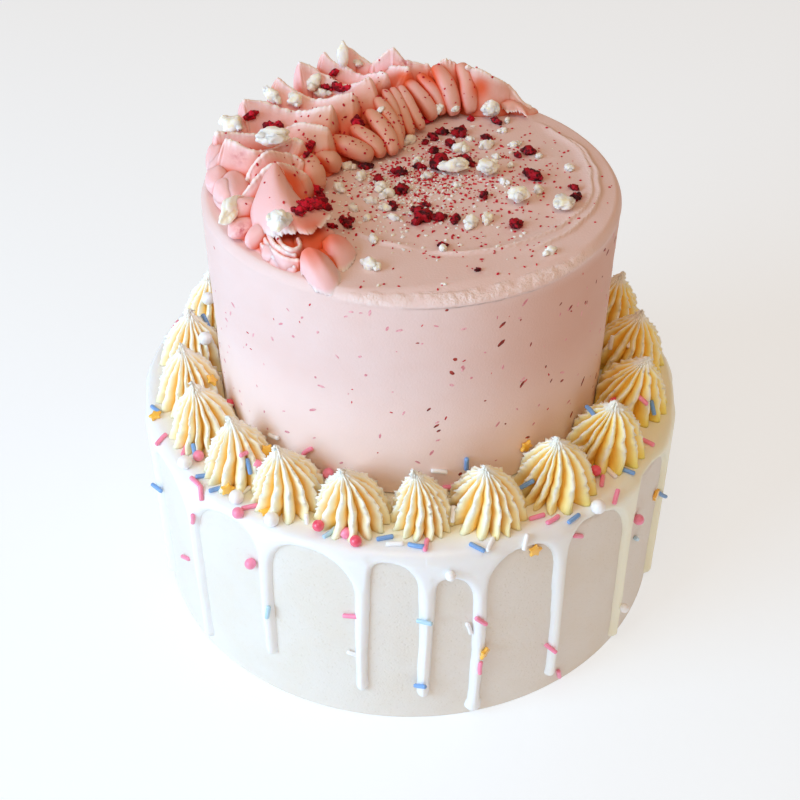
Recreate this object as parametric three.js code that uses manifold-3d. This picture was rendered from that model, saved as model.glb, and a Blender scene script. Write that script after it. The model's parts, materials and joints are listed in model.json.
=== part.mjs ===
// Two-tier party cake: a drip-glazed lower tier with a ring of piped kisses, and an upper tier
// with a piped crescent ruffle and loose toppings. Millimetres, +Z up, the front faces -Y.
// The origin is the centre of the flat underside of the lower tier.
// An azimuth is an angle round the cake in degrees: 0 at the front, positive towards +X.

import * as THREE from 'three';
import Module from 'manifold-3d';
import { mergeVertices } from 'three/addons/utils/BufferGeometryUtils.js';

// Gap between touching pieces, and the number of flats round each tier
const GAP = 0.3;
const AROUND = 72;

// Steps that spread a series of numbers evenly without repeating
const GOLDEN = 0.618;
const GOLDEN_REST = 0.382;

const LOWER_RADIUS = 105.5;
const LOWER_TAPER = 1;
const LOWER_HEIGHT = 86.6;
const LOWER_EDGE = 4;
const FOOT_BEVEL = 1;

const GLAZE_TOP = 88.6;
const CURTAIN_THICKNESS = 1.7;
const CURTAIN_FOOT = 85.4;
const DRIP_THICKNESS = 2.6;
const DRIP_TIP_HALF = 2.2;
const DRIP_TIP_ROUND = 2;
const DRIP_STEM_HALF = 3.2;
const DRIP_ROOT = 4;
const DRIP_SIDES = 6;
const FLARE_RATIO = 0.9;
const FLARE_START = 4;

// Azimuths of the front drips, the heights of their tips, and the same for the arches between them
const FRONT_DRIPS = [-69.1, -49.3, -29.1, -9.1, 3.3, 13.8, 31.1, 51, 72.4];
const FRONT_TIPS = [9, 5, 22, 16, 14, 2.2, 8, 2.8, 3.2];
const FRONT_ARCHES = [-59.6, -36.4, -20.5, -4.7, 7.3, 22.9, 37, 55.8];
const FRONT_CROWNS = [84, 86, 86.5, 85.6, 77.4, 86, 86.5, 86.5];
const BACK_DRIPS = 10;
const BACK_CROWN = 85.5;
const LOWEST_BACK_TIP = 3;
const BACK_TIP_RANGE = 24;
const BACK_DRIP_JITTER = 5;

const PEARL_RADIUS = 2.1;
const STRAND_RADIUS = 0.85;
const STRAND_LENGTH = 6;
const STAR_RADIUS = 2.9;
const STAR_WAIST = 0.52;
const STAR_THICKNESS = 1.5;
const EDGE_SPRINKLES = 14;
const EDGE_RADIUS = 100.6;

// Azimuth and height of the sprinkles that lie on the curtain and the drips
const WALL_PEARLS = [[-53, 85.5], [-31, 80], [-13, 84.8], [33, 82]];
const WALL_STARS = [[14.3, 30.5], [31, 80.5], [51, 74]];
const WALL_STRANDS = [[-29.1, 42], [-9.1, 24], [3.3, 30], [13.6, 55], [31, 24], [51, 40]];

const UPPER_RADIUS = 75;
const UPPER_FOOT = GLAZE_TOP + GAP;
const UPPER_TOP = 173.2;
const UPPER_SHOULDER = 170.5;
const RIM_BAND = 2;
const SCRAPED_BAND = 6;
const SCRAPED_CENTRE = 19;
const SCRAPED_HALF = 38;

const FRONT_KISSES = [-92, -76, -61, -44, -29, -13, 3, 18, 36.6, 55.6, 75, 93, 111];
const SMALL_KISS = 6;
const BACK_KISSES = 8;
const KISS_RING = 87;
const KISS_HEIGHT = 24.2;
const KISS_RADIUS = 13.3;
const SMALL_KISS_RADIUS = 10.7;
const KISS_RIDGES = 15;
const KISS_GROOVE = 0.17;
const KISS_TWIST = 0.35;
const KISS_LEAN = 2;
const KISS_LEAN_RANGE = 3;
const KISS_SWAY = 3.2;
const LARGEST_KISS_AT = 80;
const KISS_LARGER = 0.11;
const KISS_LARGER_LEAN = 2.5;

const RUFFLE_OUTER = 70;
const RUFFLE_START = 22;
const RUFFLE_END = 222;
const RUFFLE_PEAK = 22;
const FOLDS = 14;
const FOLD_STEPS = 6;
const FOLD_REACH = 0.62;
const FOLD_SQUARENESS = 2.2;
const RIBBON_FOOT = 3;
const RIBBON_EDGE = 1.8;
const MOUND_HEIGHT = 12;
const MOUND_WIDTH = 0.94;
const FINGERS = 17;
const FINGER_DEPTH = 1.5;

// Places on the top face that the ruffle's inner edge runs through, from its front end
const INNER_EDGE = [[-19, -54], [-28, -34], [-29, -4], [-20, 11], [-5, 23], [6, 43], [20, 53], [45, 50]];

// Large ivory lumps: place, half sizes and turn. The first three and the last lie on the ruffle.
const CHUNKS = [
  { place: [-48, -1, 189.5], half: [7, 3.8, 3.6], turn: 0.2 },
  { place: [-60.4, -31.8, 181], half: [3, 9, 3.4], turn: -0.35 },
  { place: [-42, -52, 186.5], half: [4.4, 4.2, 4], turn: 0.6 },
  { place: [15.2, 4.5, 176], half: [6, 3.8, 3], turn: 0.1 },
  { place: [27.4, 3.9, 176], half: [5, 4.4, 3], turn: 0.9 },
  { place: [36.9, -16.6, 176.2], half: [4.6, 4, 3.2], turn: 0.4 },
  { place: [52.4, -20.5, 175.8], half: [4.9, 4, 3], turn: 1.2 },
  { place: [30.5, 48, 177], half: [3.9, 3.6, 3.8], turn: 0 },
];
const CHUNK_KNOBS = 0.13;

// Small toppings on the top face: place and half size
const IVORY_BITS = [
  [-21, -9, 2.4], [-10.7, -8.2, 2.6], [-8.5, -15.5, 2.4], [5.2, 0.6, 2], [28, 24.6, 2.4],
  [18.2, 21.3, 2.6], [19.8, -31.6, 2.8], [26.5, -28, 2.2], [46, -8.9, 2], [-8.6, -58, 2.8],
  [45.3, -48.9, 1.8], [-11, -42.2, 2.1],
];
const BERRY_BITS = [
  [10.3, 12.5, 2.4], [3.6, -29.2, 2.8], [43.4, 1.2, 2.8], [43.3, 20.1, 2.6], [20.5, 13, 2.2],
  [35.6, -33, 2.2], [17.8, 34.1, 2.6], [28.3, 33, 2], [-4.5, 3.4, 2.3], [-3, -9.5, 2.3],
  [11, -25, 2], [25.3, -12.7, 1.8], [9, 21, 2.1], [61, -9, 1.9],
];

const CREAM_WHITE = { color: 0xf4f2ee, roughness: 0.62 };
const GLAZE_WHITE = { color: 0xf6f6f5, roughness: 0.3 };
const BLUSH_PINK = { color: 0xe8cfcc, roughness: 0.6 };
const RUFFLE_PINK = { color: 0xe6a79c, roughness: 0.55 };
const KISS_CREAM = { color: 0xf6e4b0, roughness: 0.5 };
const IVORY = { color: 0xf3ead2, roughness: 0.7 };

const { clamp, degToRad, euclideanModulo, lerp, radToDeg, smoothstep } = THREE.MathUtils;
const UP = new THREE.Vector3(0, 0, 1);
const FORWARD = new THREE.Vector3(0, -1, 0);

const wasm = await Module();
wasm.setup();

// Signed volume of an indexed triangle mesh: negative when its faces point inwards.
function signedVolume(positions, index) {
  const corner = (k) => new THREE.Vector3().fromArray(positions, 3 * k);
  let volume = 0;
  for (let t = 0; t < index.length; t += 3) {
    const [a, b, c] = [index[t], index[t + 1], index[t + 2]].map(corner);
    volume += a.dot(b.cross(c)) / 6;
  }
  return volume;
}

// A closed geometry as a solid, with shared vertices, no collapsed triangles and faces outwards.
function solid(geometry) {
  const bare = geometry.clone();
  bare.deleteAttribute('normal');
  bare.deleteAttribute('uv');
  const merged = mergeVertices(bare, 1e-4);
  const positions = merged.attributes.position.array;
  let triangles = [];
  for (let t = 0; t < merged.index.count; t += 3) {
    const [a, b, c] = [0, 1, 2].map((k) => merged.index.getX(t + k));
    if (a !== b && b !== c && c !== a) triangles.push(a, b, c);
  }
  if (signedVolume(positions, triangles) < 0) triangles = triangles.reverse();
  return new wasm.Manifold(new wasm.Mesh({
    numProp: 3,
    vertProperties: new Float32Array(positions),
    triVerts: new Uint32Array(triangles),
  }));
}

function joined(solids) {
  return solids.reduce((whole, piece) => whole.add(piece));
}

// The largest body of a solid, without any scrap that a cut leaves.
function mainBody(whole) {
  return whole.decompose().sort((a, b) => b.volume() - a.volume())[0];
}

function namedMesh(name, whole, look) {
  const { vertProperties, triVerts } = mainBody(whole).getMesh();
  const geometry = new THREE.BufferGeometry();
  geometry.setAttribute('position', new THREE.Float32BufferAttribute(vertProperties, 3));
  geometry.setIndex(Array.from(triVerts));
  geometry.computeVertexNormals();
  const mesh = new THREE.Mesh(geometry, new THREE.MeshStandardMaterial({ ...look, metalness: 0 }));
  mesh.name = name;
  return mesh;
}

// Moves every vertex of a geometry by a function that changes the vector it is given.
function reshape(geometry, move) {
  const place = geometry.attributes.position;
  const vertex = new THREE.Vector3();
  for (let k = 0; k < place.count; k += 1) {
    move(vertex.fromBufferAttribute(place, k));
    place.setXYZ(k, vertex.x, vertex.y, vertex.z);
  }
  return geometry;
}

// A profile of [radius, height] pairs turned about the Z axis, its seam at the front.
function turned(profile, segments) {
  const points = profile.map(([r, z]) => new THREE.Vector2(r, z));
  return new THREE.LatheGeometry(points, segments).rotateX(Math.PI / 2);
}

// A rod along Z of unit radius and length, in rows of vertices.
function rod(sides, rows) {
  return new THREE.CylinderGeometry(1, 1, 1, sides, rows).rotateX(Math.PI / 2);
}

// A unit ball with its poles on the Z axis.
function ball(sides, rows) {
  return new THREE.SphereGeometry(1, sides, rows).rotateX(Math.PI / 2);
}

function azimuthOf(point) {
  return radToDeg(Math.atan2(point.x, -point.y));
}

function polar(radius, azimuth, z = 0) {
  const angle = degToRad(azimuth);
  return new THREE.Vector3(radius * Math.sin(angle), -radius * Math.cos(angle), z);
}

// The k-th of a series of numbers from 0 to 1 that a step spreads evenly.
function spread(k, step) {
  return (k * step) % 1;
}

// Lower tier

function lowerProfile(grow) {
  const r = LOWER_RADIUS + grow;
  const top = LOWER_HEIGHT + grow;
  return [
    [0, 0],
    [r - FOOT_BEVEL, 0],
    [r, FOOT_BEVEL],
    [r - LOWER_TAPER, top - LOWER_EDGE],
    [r - LOWER_TAPER - LOWER_EDGE, top],
    [0, top],
  ];
}

function wallRadius(z) {
  return LOWER_RADIUS - (LOWER_TAPER * z) / LOWER_HEIGHT;
}

const lowerTier = solid(turned(lowerProfile(0), AROUND));
const lowerRoom = solid(turned(lowerProfile(GAP), AROUND));

// Drip glaze

// Azimuth and tip height of every drip: the back ones go on at an even step, each a little off it.
function allDrips() {
  const drips = FRONT_DRIPS.map((azimuth, k) => ({ azimuth, tip: FRONT_TIPS[k] }));
  const last = FRONT_DRIPS[FRONT_DRIPS.length - 1];
  const step = (360 + FRONT_DRIPS[0] - last) / (BACK_DRIPS + 1);
  for (let k = 1; k <= BACK_DRIPS; k += 1) {
    const jitter = BACK_DRIP_JITTER * (spread(k, GOLDEN) - 0.5);
    const tip = LOWEST_BACK_TIP + BACK_TIP_RANGE * spread(k, GOLDEN_REST);
    drips.push({ azimuth: last + step * k + jitter, tip });
  }
  return drips;
}

const drips = allDrips();

// Azimuth and crown height of the arch between a drip and the next one round.
function archAfter(index) {
  if (index < FRONT_ARCHES.length) return { azimuth: FRONT_ARCHES[index], crown: FRONT_CROWNS[index] };
  const start = drips[index].azimuth;
  const end = index + 1 < drips.length ? drips[index + 1].azimuth : drips[0].azimuth + 360;
  return { azimuth: lerp(start, end, 0.42 + 0.16 * spread(index, GOLDEN)), crown: BACK_CROWN };
}

function archBefore(index) {
  return archAfter((index + drips.length - 1) % drips.length);
}

// How far a drip's edge stands out past its stem at a height, where it opens into the arch beside it.
function flare(reach, crown, z) {
  const height = FLARE_RATIO * reach + FLARE_START;
  const q = clamp((z - crown + height) / height, 0, 1);
  return reach * (1 - Math.sqrt(1 - q * q));
}

function dripSolid({ azimuth, tip }, index) {
  const perDegree = degToRad(1) * LOWER_RADIUS;
  const [left, right] = [archBefore(index), archAfter(index)];
  const leftReach = euclideanModulo(azimuth - left.azimuth, 360) * perDegree - DRIP_STEM_HALF;
  const rightReach = euclideanModulo(right.azimuth - azimuth, 360) * perDegree - DRIP_STEM_HALF;
  const crown = Math.max(left.crown, right.crown);
  const flareHeight = FLARE_RATIO * Math.max(leftReach, rightReach) + FLARE_START;
  const flareRows = [0, 0.6, 0.88, 1].map((part) => crown - flareHeight * (1 - part));
  const rows = [tip, tip + DRIP_TIP_ROUND, ...flareRows];
  const widestVertex = Math.sin(degToRad(60));

  return solid(reshape(rod(DRIP_SIDES, rows.length - 1), (p) => {
    const row = Math.round((0.5 + p.z) * (rows.length - 1));
    const z = rows[row];
    const along = clamp((z - tip) / (crown - tip), 0, 1);
    const tipShrink = row === 0 ? 0.55 : 1;
    const stem = lerp(DRIP_TIP_HALF, DRIP_STEM_HALF, along) * tipShrink;
    const side = p.x < 0 ? flare(leftReach, left.crown, z) : flare(rightReach, right.crown, z);
    const proud = lerp(DRIP_THICKNESS, CURTAIN_THICKNESS, along) * tipShrink;
    const depth = p.y < 0 ? -p.y * proud : -p.y * DRIP_ROOT;
    const bearing = azimuth + ((p.x / widestVertex) * (stem + side)) / perDegree;
    p.copy(polar(wallRadius(z) + depth, bearing, z));
  }));
}

function glazeSolid() {
  const wall = wallRadius(LOWER_HEIGHT);
  const cap = turned([
    [0, CURTAIN_FOOT],
    [wall + CURTAIN_THICKNESS * 0.6, CURTAIN_FOOT],
    [wall + CURTAIN_THICKNESS, CURTAIN_FOOT + 1],
    [wall - CURTAIN_THICKNESS, GLAZE_TOP],
    [0, GLAZE_TOP],
  ], AROUND);
  return joined([solid(cap), ...drips.map(dripSolid)]);
}

// Ring of kisses

function kissAzimuths() {
  const last = FRONT_KISSES[FRONT_KISSES.length - 1];
  const step = (360 + FRONT_KISSES[0] - last) / (BACK_KISSES + 1);
  const back = Array.from({ length: BACK_KISSES }, (unused, k) => last + step * (k + 1));
  return [...FRONT_KISSES, ...back];
}

const kisses = kissAzimuths();

// How much larger a kiss is than the ones on the left: most on the right
function kissScale(index) {
  return 1 + KISS_LARGER * Math.max(0, Math.cos(degToRad(kisses[index] - LARGEST_KISS_AT)));
}

function kissRadius(index) {
  return kissScale(index) * (index === SMALL_KISS ? SMALL_KISS_RADIUS : KISS_RADIUS);
}

// Azimuth between a kiss and the next one round, where the two press on each other.
function bayAfter(index) {
  const next = (index + 1) % kisses.length;
  const gap = euclideanModulo(kisses[next] - kisses[index], 360);
  return kisses[index] + (gap * kissRadius(index)) / (kissRadius(index) + kissRadius(next));
}

// Moves a point back to one side of the upright plane at an azimuth.
function pressFlat(point, azimuth, side) {
  const across = polar(1, azimuth + 90);
  const over = GAP / 2 - side * point.dot(across);
  if (over > 0) point.addScaledVector(across, side * over);
}

// Where a kiss's tip leans to: outwards, and sideways against the way round that they were piped
function kissLean(bearing, index) {
  const larger = (kissScale(index) - 1) / KISS_LARGER;
  const wander = KISS_LEAN_RANGE * (spread(index, GOLDEN_REST) - 0.5);
  const outwards = KISS_LEAN + KISS_LARGER_LEAN * larger + wander;
  return polar(outwards, bearing).add(polar(KISS_SWAY, bearing - 90));
}

// A ridged, pointed drop of cream, flattened against its neighbours and the upper tier.
function kissSolid(bearing, index) {
  const radius = kissRadius(index);
  const height = kissScale(index) * KISS_HEIGHT * (0.97 + 0.06 * spread(index, GOLDEN));
  const tip = kissLean(bearing, index);
  const centre = polar(KISS_RING, bearing, GLAZE_TOP + GAP);
  const profile = [[0, 0], [0.94, 0], [0.97, 0.2], [0.52, 0.7], [0, 1]];

  return solid(reshape(turned(profile, 2 * KISS_RIDGES), (p) => {
    const angle = Math.atan2(p.y, p.x);
    const ridge = 0.5 - 0.5 * Math.cos(KISS_RIDGES * (angle + Math.PI / 2));
    const spoke = radius * Math.hypot(p.x, p.y) * (1 - KISS_GROOVE * ridge);
    const turn = angle + KISS_TWIST * p.z + spread(index, GOLDEN_REST);
    const lean = tip.clone().multiplyScalar(p.z * p.z);
    p.set(spoke * Math.cos(turn), spoke * Math.sin(turn), height * p.z).add(centre).add(lean);
    pressFlat(p, bayAfter(index), -1);
    pressFlat(p, bayAfter(index ? index - 1 : kisses.length - 1), 1);
    const r = Math.max(Math.hypot(p.x, p.y), UPPER_RADIUS + 1.3 * GAP);
    p.copy(polar(r, azimuthOf(p), p.z));
  }));
}

// Sprinkles, each lying on the glaze with its underside sunk in it

function pearlShape() {
  return new THREE.IcosahedronGeometry(PEARL_RADIUS, 0);
}

function strandShape() {
  return new THREE.CylinderGeometry(STRAND_RADIUS, STRAND_RADIUS, STRAND_LENGTH, 5, 1);
}

function starShape() {
  const corners = [];
  for (let k = 0; k < 10; k += 1) {
    const r = k % 2 ? STAR_RADIUS * STAR_WAIST : STAR_RADIUS;
    corners.push(new THREE.Vector2(r, 0).rotateAround(new THREE.Vector2(), degToRad(36 * k)));
  }
  const options = { depth: STAR_THICKNESS, bevelEnabled: false };
  const star = new THREE.ExtrudeGeometry(new THREE.Shape(corners), options);
  return star.translate(0, 0, -STAR_THICKNESS / 2);
}

// A shape turned in its own plane and stood against the wall at an azimuth and a height.
function onWall(shape, [azimuth, z], lift, turn) {
  const upright = new THREE.Quaternion().setFromUnitVectors(UP, FORWARD);
  const round = new THREE.Quaternion().setFromAxisAngle(UP, degToRad(azimuth));
  const place = polar(wallRadius(z) + lift, azimuth, z);
  return solid(shape.rotateZ(turn).applyQuaternion(upright).applyQuaternion(round).translate(...place));
}

// A shape turned in its own plane and laid on the flat edge of the glaze, in a bay between kisses.
function onEdge(shape, bay, lift, turn) {
  const place = polar(EDGE_RADIUS, bayAfter(bay), GLAZE_TOP + lift);
  return solid(shape.rotateZ(turn).translate(...place));
}

function glazeSprinkles() {
  const pieces = WALL_PEARLS.map((place) => onWall(pearlShape(), place, 2.4, 0));
  pieces.push(...WALL_STARS.map((place) => onWall(starShape(), place, 2.5, 0.3)));
  pieces.push(...WALL_STRANDS.map((place) => onWall(strandShape(), place, 2.6, place[0])));
  for (let k = 0; k < EDGE_SPRINKLES; k += 1) {
    const bay = Math.floor((k * kisses.length) / EDGE_SPRINKLES);
    const kind = k % 4;
    if (kind === 1) pieces.push(onEdge(starShape(), bay, 0.2, k));
    else if (kind === 2) pieces.push(onEdge(strandShape(), bay, 0.4, 1.7 * k));
    else pieces.push(onEdge(pearlShape(), bay, 1, 0));
  }
  return pieces;
}

// Upper tier

// How far the rim slopes inwards: the rough scraped band at the front is wider.
function rimBand(azimuth) {
  const off = (azimuth - SCRAPED_CENTRE) / SCRAPED_HALF;
  return Math.abs(off) < 1 ? RIM_BAND + SCRAPED_BAND * Math.cos((off * Math.PI) / 2) : RIM_BAND;
}

function upperBody(grow) {
  const r = UPPER_RADIUS + grow;
  const top = UPPER_TOP + grow;
  const profile = [
    [0, UPPER_FOOT],
    [r - FOOT_BEVEL, UPPER_FOOT],
    [r, UPPER_FOOT + FOOT_BEVEL],
    [r, UPPER_SHOULDER + grow],
    [r - RIM_BAND, top],
    [0, top],
  ];
  return solid(reshape(turned(profile, AROUND), (p) => {
    const onRim = p.z > (UPPER_SHOULDER + UPPER_TOP) / 2 && Math.hypot(p.x, p.y) > 1;
    if (onRim) p.copy(polar(r - rimBand(azimuthOf(p)), azimuthOf(p), top));
  }));
}

const upperTier = upperBody(0);
const upperRoom = upperBody(GAP);

function bitSolid([x, y, half], index) {
  const bit = new THREE.IcosahedronGeometry(half, 0).rotateZ(index);
  return solid(bit.translate(x, y, UPPER_TOP + 0.45 * half));
}

// Crescent ruffle: its sweep is the azimuth measured clockwise from the front, seen from above.

const innerEdge = new THREE.CatmullRomCurve3(INNER_EDGE.map(([x, y]) => new THREE.Vector3(x, y, 0)));

// The crescent at a share of its length: its outer edge, the way across it and how wide it is.
function station(share) {
  const outer = polar(RUFFLE_OUTER, -lerp(RUFFLE_START, RUFFLE_END, share));
  const inner = innerEdge.getPointAt(share);
  return { outer, across: inner.clone().sub(outer).normalize(), width: outer.distanceTo(inner) };
}

// Height of the folds above the top face: lower at the front, and sinking to the back end.
function ridgeHeight(share) {
  const rise = smoothstep(share, -0.15, 0.62);
  const fall = smoothstep(share, 0.66, 1.06);
  return RUFFLE_PEAK * (0.55 + 0.45 * rise) * (1 - 0.7 * fall);
}

// A point of the ribbon's path, a number of folds from its front end: in each fold it swings from
// the outer edge part of the way across the crescent and back.
function ribbonPath(folds) {
  const share = clamp(folds / FOLDS, 0, 1);
  const { outer, across, width } = station(share);
  const length = Math.max(FOLD_REACH * width, Math.min(width - RIBBON_FOOT, 12));
  const swing = Math.tanh(FOLD_SQUARENESS * Math.cos(2 * Math.PI * folds)) / Math.tanh(FOLD_SQUARENESS);
  const place = outer.addScaledVector(across, RIBBON_FOOT / 2 + (length * (1 - swing)) / 2);
  return place.setZ(ridgeHeight(share) * (0.9 + 0.1 * swing));
}

// Direction between two points of the path, seen from above.
function heading(from, to) {
  return to.clone().sub(from).setZ(0).normalize();
}

// A thin-edged ribbon of cream standing on its path.
function ribbonSolid() {
  const step = 1 / FOLD_STEPS;
  const strip = new THREE.BoxGeometry(1, 1, 1, 1, FOLDS * FOLD_STEPS, 1);
  return solid(reshape(strip, (p) => {
    const folds = FOLDS * (p.y + 0.5);
    const place = ribbonPath(folds);
    const into = heading(ribbonPath(Math.max(folds, step) - step), ribbonPath(Math.max(folds, step)));
    const onward = Math.min(folds, FOLDS - step);
    const out = heading(ribbonPath(onward), ribbonPath(onward + step));
    const course = into.add(out).normalize();
    const mitre = 1 / Math.max(0.6, course.dot(out));
    const upper = p.z > 0;
    const side = new THREE.Vector3(course.y, -course.x, 0);
    place.addScaledVector(side, p.x * mitre * (upper ? RIBBON_EDGE : RIBBON_FOOT));
    p.set(place.x, place.y, UPPER_TOP + (upper ? place.z : -1));
  }));
}

// The mound under the ribbon, lower towards both ends. Its inner slope is pleated into finger-like
// folds that lean down on the top face.
function moundSolid() {
  return solid(reshape(rod(8, 2 * FINGERS), (p) => {
    const share = 0.5 + p.z;
    const { outer, across, width } = station(share);
    const fold = FINGER_DEPTH * Math.cos(2 * Math.PI * FINGERS * share) * Math.max(p.x, 0);
    const place = outer.addScaledVector(across, (width / 2) * (1 + MOUND_WIDTH * p.x) + fold);
    const fade = Math.sin(Math.PI * clamp(share, 0.1, 0.9));
    const height = Math.min(MOUND_HEIGHT, 0.4 * width) * fade + fold;
    p.set(place.x, place.y, UPPER_TOP + (p.y > 0 ? height : 2) * p.y);
  }));
}

// A rounded fold lying at the front end of the ruffle, its outer end drooping over the rim.
function frontFold([x, y, lift], bearing, [length, width, height]) {
  const along = polar(1, bearing);
  const aside = polar(1, bearing + 90);
  return solid(reshape(ball(8, 5), (p) => {
    const place = new THREE.Vector3(x, y, UPPER_TOP + lift);
    place.addScaledVector(along, (length / 2) * p.x).addScaledVector(aside, (width / 2) * p.y);
    p.copy(place.setZ(place.z + (height / 2) * p.z - 1.6 * Math.max(p.x, 0)));
  }));
}

function ruffleSolid() {
  return joined([
    moundSolid(),
    ribbonSolid(),
    frontFold([-27.5, -64.5, 3.2], -14, [17, 12, 9]),
    frontFold([-36, -57, 4.5], -28, [18, 11, 12]),
    frontFold([-21, -54, 3], 20, [15, 11, 8]),
  ]).subtract(upperRoom);
}

const ruffle = ruffleSolid();

// The ruffle with a gap round it
function ruffleRoom() {
  const shifts = [[0, 0, 1], [1, 0, 0], [-1, 0, 0], [0, 1, 0], [0, -1, 0]];
  return joined(shifts.map((shift) => ruffle.translate(shift.map((step) => step * GAP))));
}

// A knobbly lump of ivory crunch
function chunkSolid({ place, half, turn }, index) {
  const lump = reshape(new THREE.IcosahedronGeometry(1, 1), (p) => {
    p.multiplyScalar(1 + CHUNK_KNOBS * Math.sin(5 * p.x + index) * Math.cos(4 * p.y - index));
    p.multiply(new THREE.Vector3(...half));
  });
  return solid(lump.rotateZ(turn).translate(...place));
}

const glaze = joined([glazeSolid(), ...glazeSprinkles()]).subtract(lowerRoom);
const toppedTier = joined([upperTier, ...[...IVORY_BITS, ...BERRY_BITS].map(bitSolid)]);
const chunkLimits = ruffleRoom().add(upperRoom);

const cake = new THREE.Group();
cake.add(namedMesh('lower_tier', lowerTier, CREAM_WHITE));
cake.add(namedMesh('drip_glaze', glaze, GLAZE_WHITE));
cake.add(namedMesh('upper_tier', toppedTier, BLUSH_PINK));
cake.add(namedMesh('piped_ruffle', ruffle, RUFFLE_PINK));
CHUNKS.forEach((chunk, index) => {
  const lump = chunkSolid(chunk, index).subtract(chunkLimits);
  cake.add(namedMesh(`ivory_chunk_${index + 1}`, lump, IVORY));
});
kisses.forEach((bearing, index) => {
  const number = String(index + 1).padStart(2, '0');
  cake.add(namedMesh(`piped_kiss_${number}`, kissSolid(bearing, index), KISS_CREAM));
});

export default cake;
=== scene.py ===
"""Two-tier party cake: creams, glaze, piping and toppings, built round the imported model."""

import json
import math
from bisect import bisect_right
from itertools import accumulate
from random import Random

import bmesh
import bpy
from bpy.props import FloatProperty, FloatVectorProperty, IntProperty, PointerProperty
from mathutils import Matrix, Quaternion, Vector, noise
from mathutils.bvhtree import BVHTree

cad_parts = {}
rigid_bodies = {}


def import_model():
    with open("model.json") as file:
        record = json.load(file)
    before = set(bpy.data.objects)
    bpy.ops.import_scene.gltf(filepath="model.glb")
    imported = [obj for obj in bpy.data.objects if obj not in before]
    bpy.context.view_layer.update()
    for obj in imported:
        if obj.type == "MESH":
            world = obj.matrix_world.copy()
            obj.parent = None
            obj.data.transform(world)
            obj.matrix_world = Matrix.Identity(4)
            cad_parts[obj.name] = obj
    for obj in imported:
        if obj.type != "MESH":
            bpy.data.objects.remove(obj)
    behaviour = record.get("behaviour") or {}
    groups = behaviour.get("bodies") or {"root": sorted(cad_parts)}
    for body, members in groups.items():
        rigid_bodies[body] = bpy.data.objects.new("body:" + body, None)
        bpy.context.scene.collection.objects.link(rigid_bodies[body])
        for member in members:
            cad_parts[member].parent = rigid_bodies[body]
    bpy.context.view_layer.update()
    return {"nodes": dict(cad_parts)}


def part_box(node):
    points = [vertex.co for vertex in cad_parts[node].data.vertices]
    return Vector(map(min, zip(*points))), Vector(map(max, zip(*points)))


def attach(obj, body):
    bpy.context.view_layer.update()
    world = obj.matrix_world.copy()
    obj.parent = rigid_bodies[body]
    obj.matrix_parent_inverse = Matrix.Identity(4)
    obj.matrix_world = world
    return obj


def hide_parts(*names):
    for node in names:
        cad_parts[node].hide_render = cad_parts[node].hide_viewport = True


bl_info = {
    "name": "Two-tier party cake",
    "version": (1, 0, 0),
    "blender": (4, 5, 0),
    "location": "View3D > Sidebar > Cake",
    "description": "Builds a drip-glazed cake with piped kisses, a ruffle and loose toppings",
    "category": "Add Mesh",
}

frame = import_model()

# Metres, +Z up, the front faces -Y. An azimuth is an angle round the cake in degrees:
# 0 at the front, positive towards +X.
MM = 0.001
GOLDEN = 0.618
GOLDEN_REST = 0.382
GOLDEN_TURN = 137.5

# Driving sizes, as packed
LOWER_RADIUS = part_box("lower_tier")[1].x
LOWER_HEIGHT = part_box("lower_tier")[1].z
UPPER_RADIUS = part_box("upper_tier")[1].x
UPPER_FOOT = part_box("upper_tier")[0].z
ALL_KISSES = sum(name.startswith("piped_kiss") for name in frame["nodes"])

# Lower tier and its glaze
LOWER_TAPER = 1 * MM
LOWER_EDGE = 4 * MM
FOOT_BEVEL = 1 * MM
GLAZE_TOP = LOWER_HEIGHT + 2 * MM
GLAZE_SHOULDER = 5.6 * MM
GLAZE_LIP = 3 * MM
HIDDEN_DEPTH = -1.6 * MM
DRIP_TIP_HALF = 2 * MM
DRIP_STEM_HALF = 2.8 * MM
FLARE_RATIO = 0.9
FLARE_START = 4 * MM

# The drips that the picture shows, by azimuth, and the heights of their tips in millimetres, then
# the arches between them, by azimuth, and the heights of their crowns
FRONT_DRIPS = [-69.1, -49.3, -29.1, -9.1, 3.3, 13.8, 31.1, 51, 72.4]
FRONT_TIPS = [9, 5, 22, 16, 14, 2.2, 8, 2.8, 3.2]
FRONT_ARCHES = [-59.6, -36.4, -20.5, -4.7, 7.3, 22.9, 37, 55.8]
FRONT_CROWNS = [84, 86, 86.5, 85.6, 77.4, 86, 86.5, 86.5]
BULBOUS_DRIP = 5

# Drips at the back
BACK_DRIPS = 10
BACK_CROWN = 85.5 * MM
LOWEST_BACK_TIP = 3 * MM
BACK_TIP_RANGE = 24 * MM
BACK_DRIP_JITTER = 5

# Upper tier
UPPER_TOP = UPPER_FOOT + 84.3 * MM
RIM_BAND = 2 * MM
SCRAPED_BAND = 6 * MM
SCRAPED_CENTRE = 19
SCRAPED_HALF = 38
RIM_TURN = 2.4 * MM

# Ridges that the spatula leaves: first and last turn in degrees, radius in millimetres and its
# growth for each degree, and how gently a ridge falls off inwards
SPATULA_ARCS = [(-100, 52, 50.5, 0.045), (-66, 40, 56.5, 0.012), (-172, -96, 47, 0.03)]
SPATULA_TAIL = 0.06

# Ring of kisses: the ones that the picture shows are placed by azimuth
FRONT_KISSES = [-92, -76, -61, -44, -29, -13, 3, 18, 36.6, 55.6, 75, 93, 111]
SMALL_KISS = 6
SMALL_KISS_SHARE = 0.8
BACK_KISSES = ALL_KISSES - len(FRONT_KISSES)
KISS_RING = 87 * MM
KISS_LEAN = 2 * MM
KISS_LEAN_RANGE = 3 * MM
KISS_SWAY = 3.2 * MM
LARGEST_KISS_AT = 80
KISS_LARGER = 0.11
KISS_LARGER_LEAN = 2.5 * MM

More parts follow.
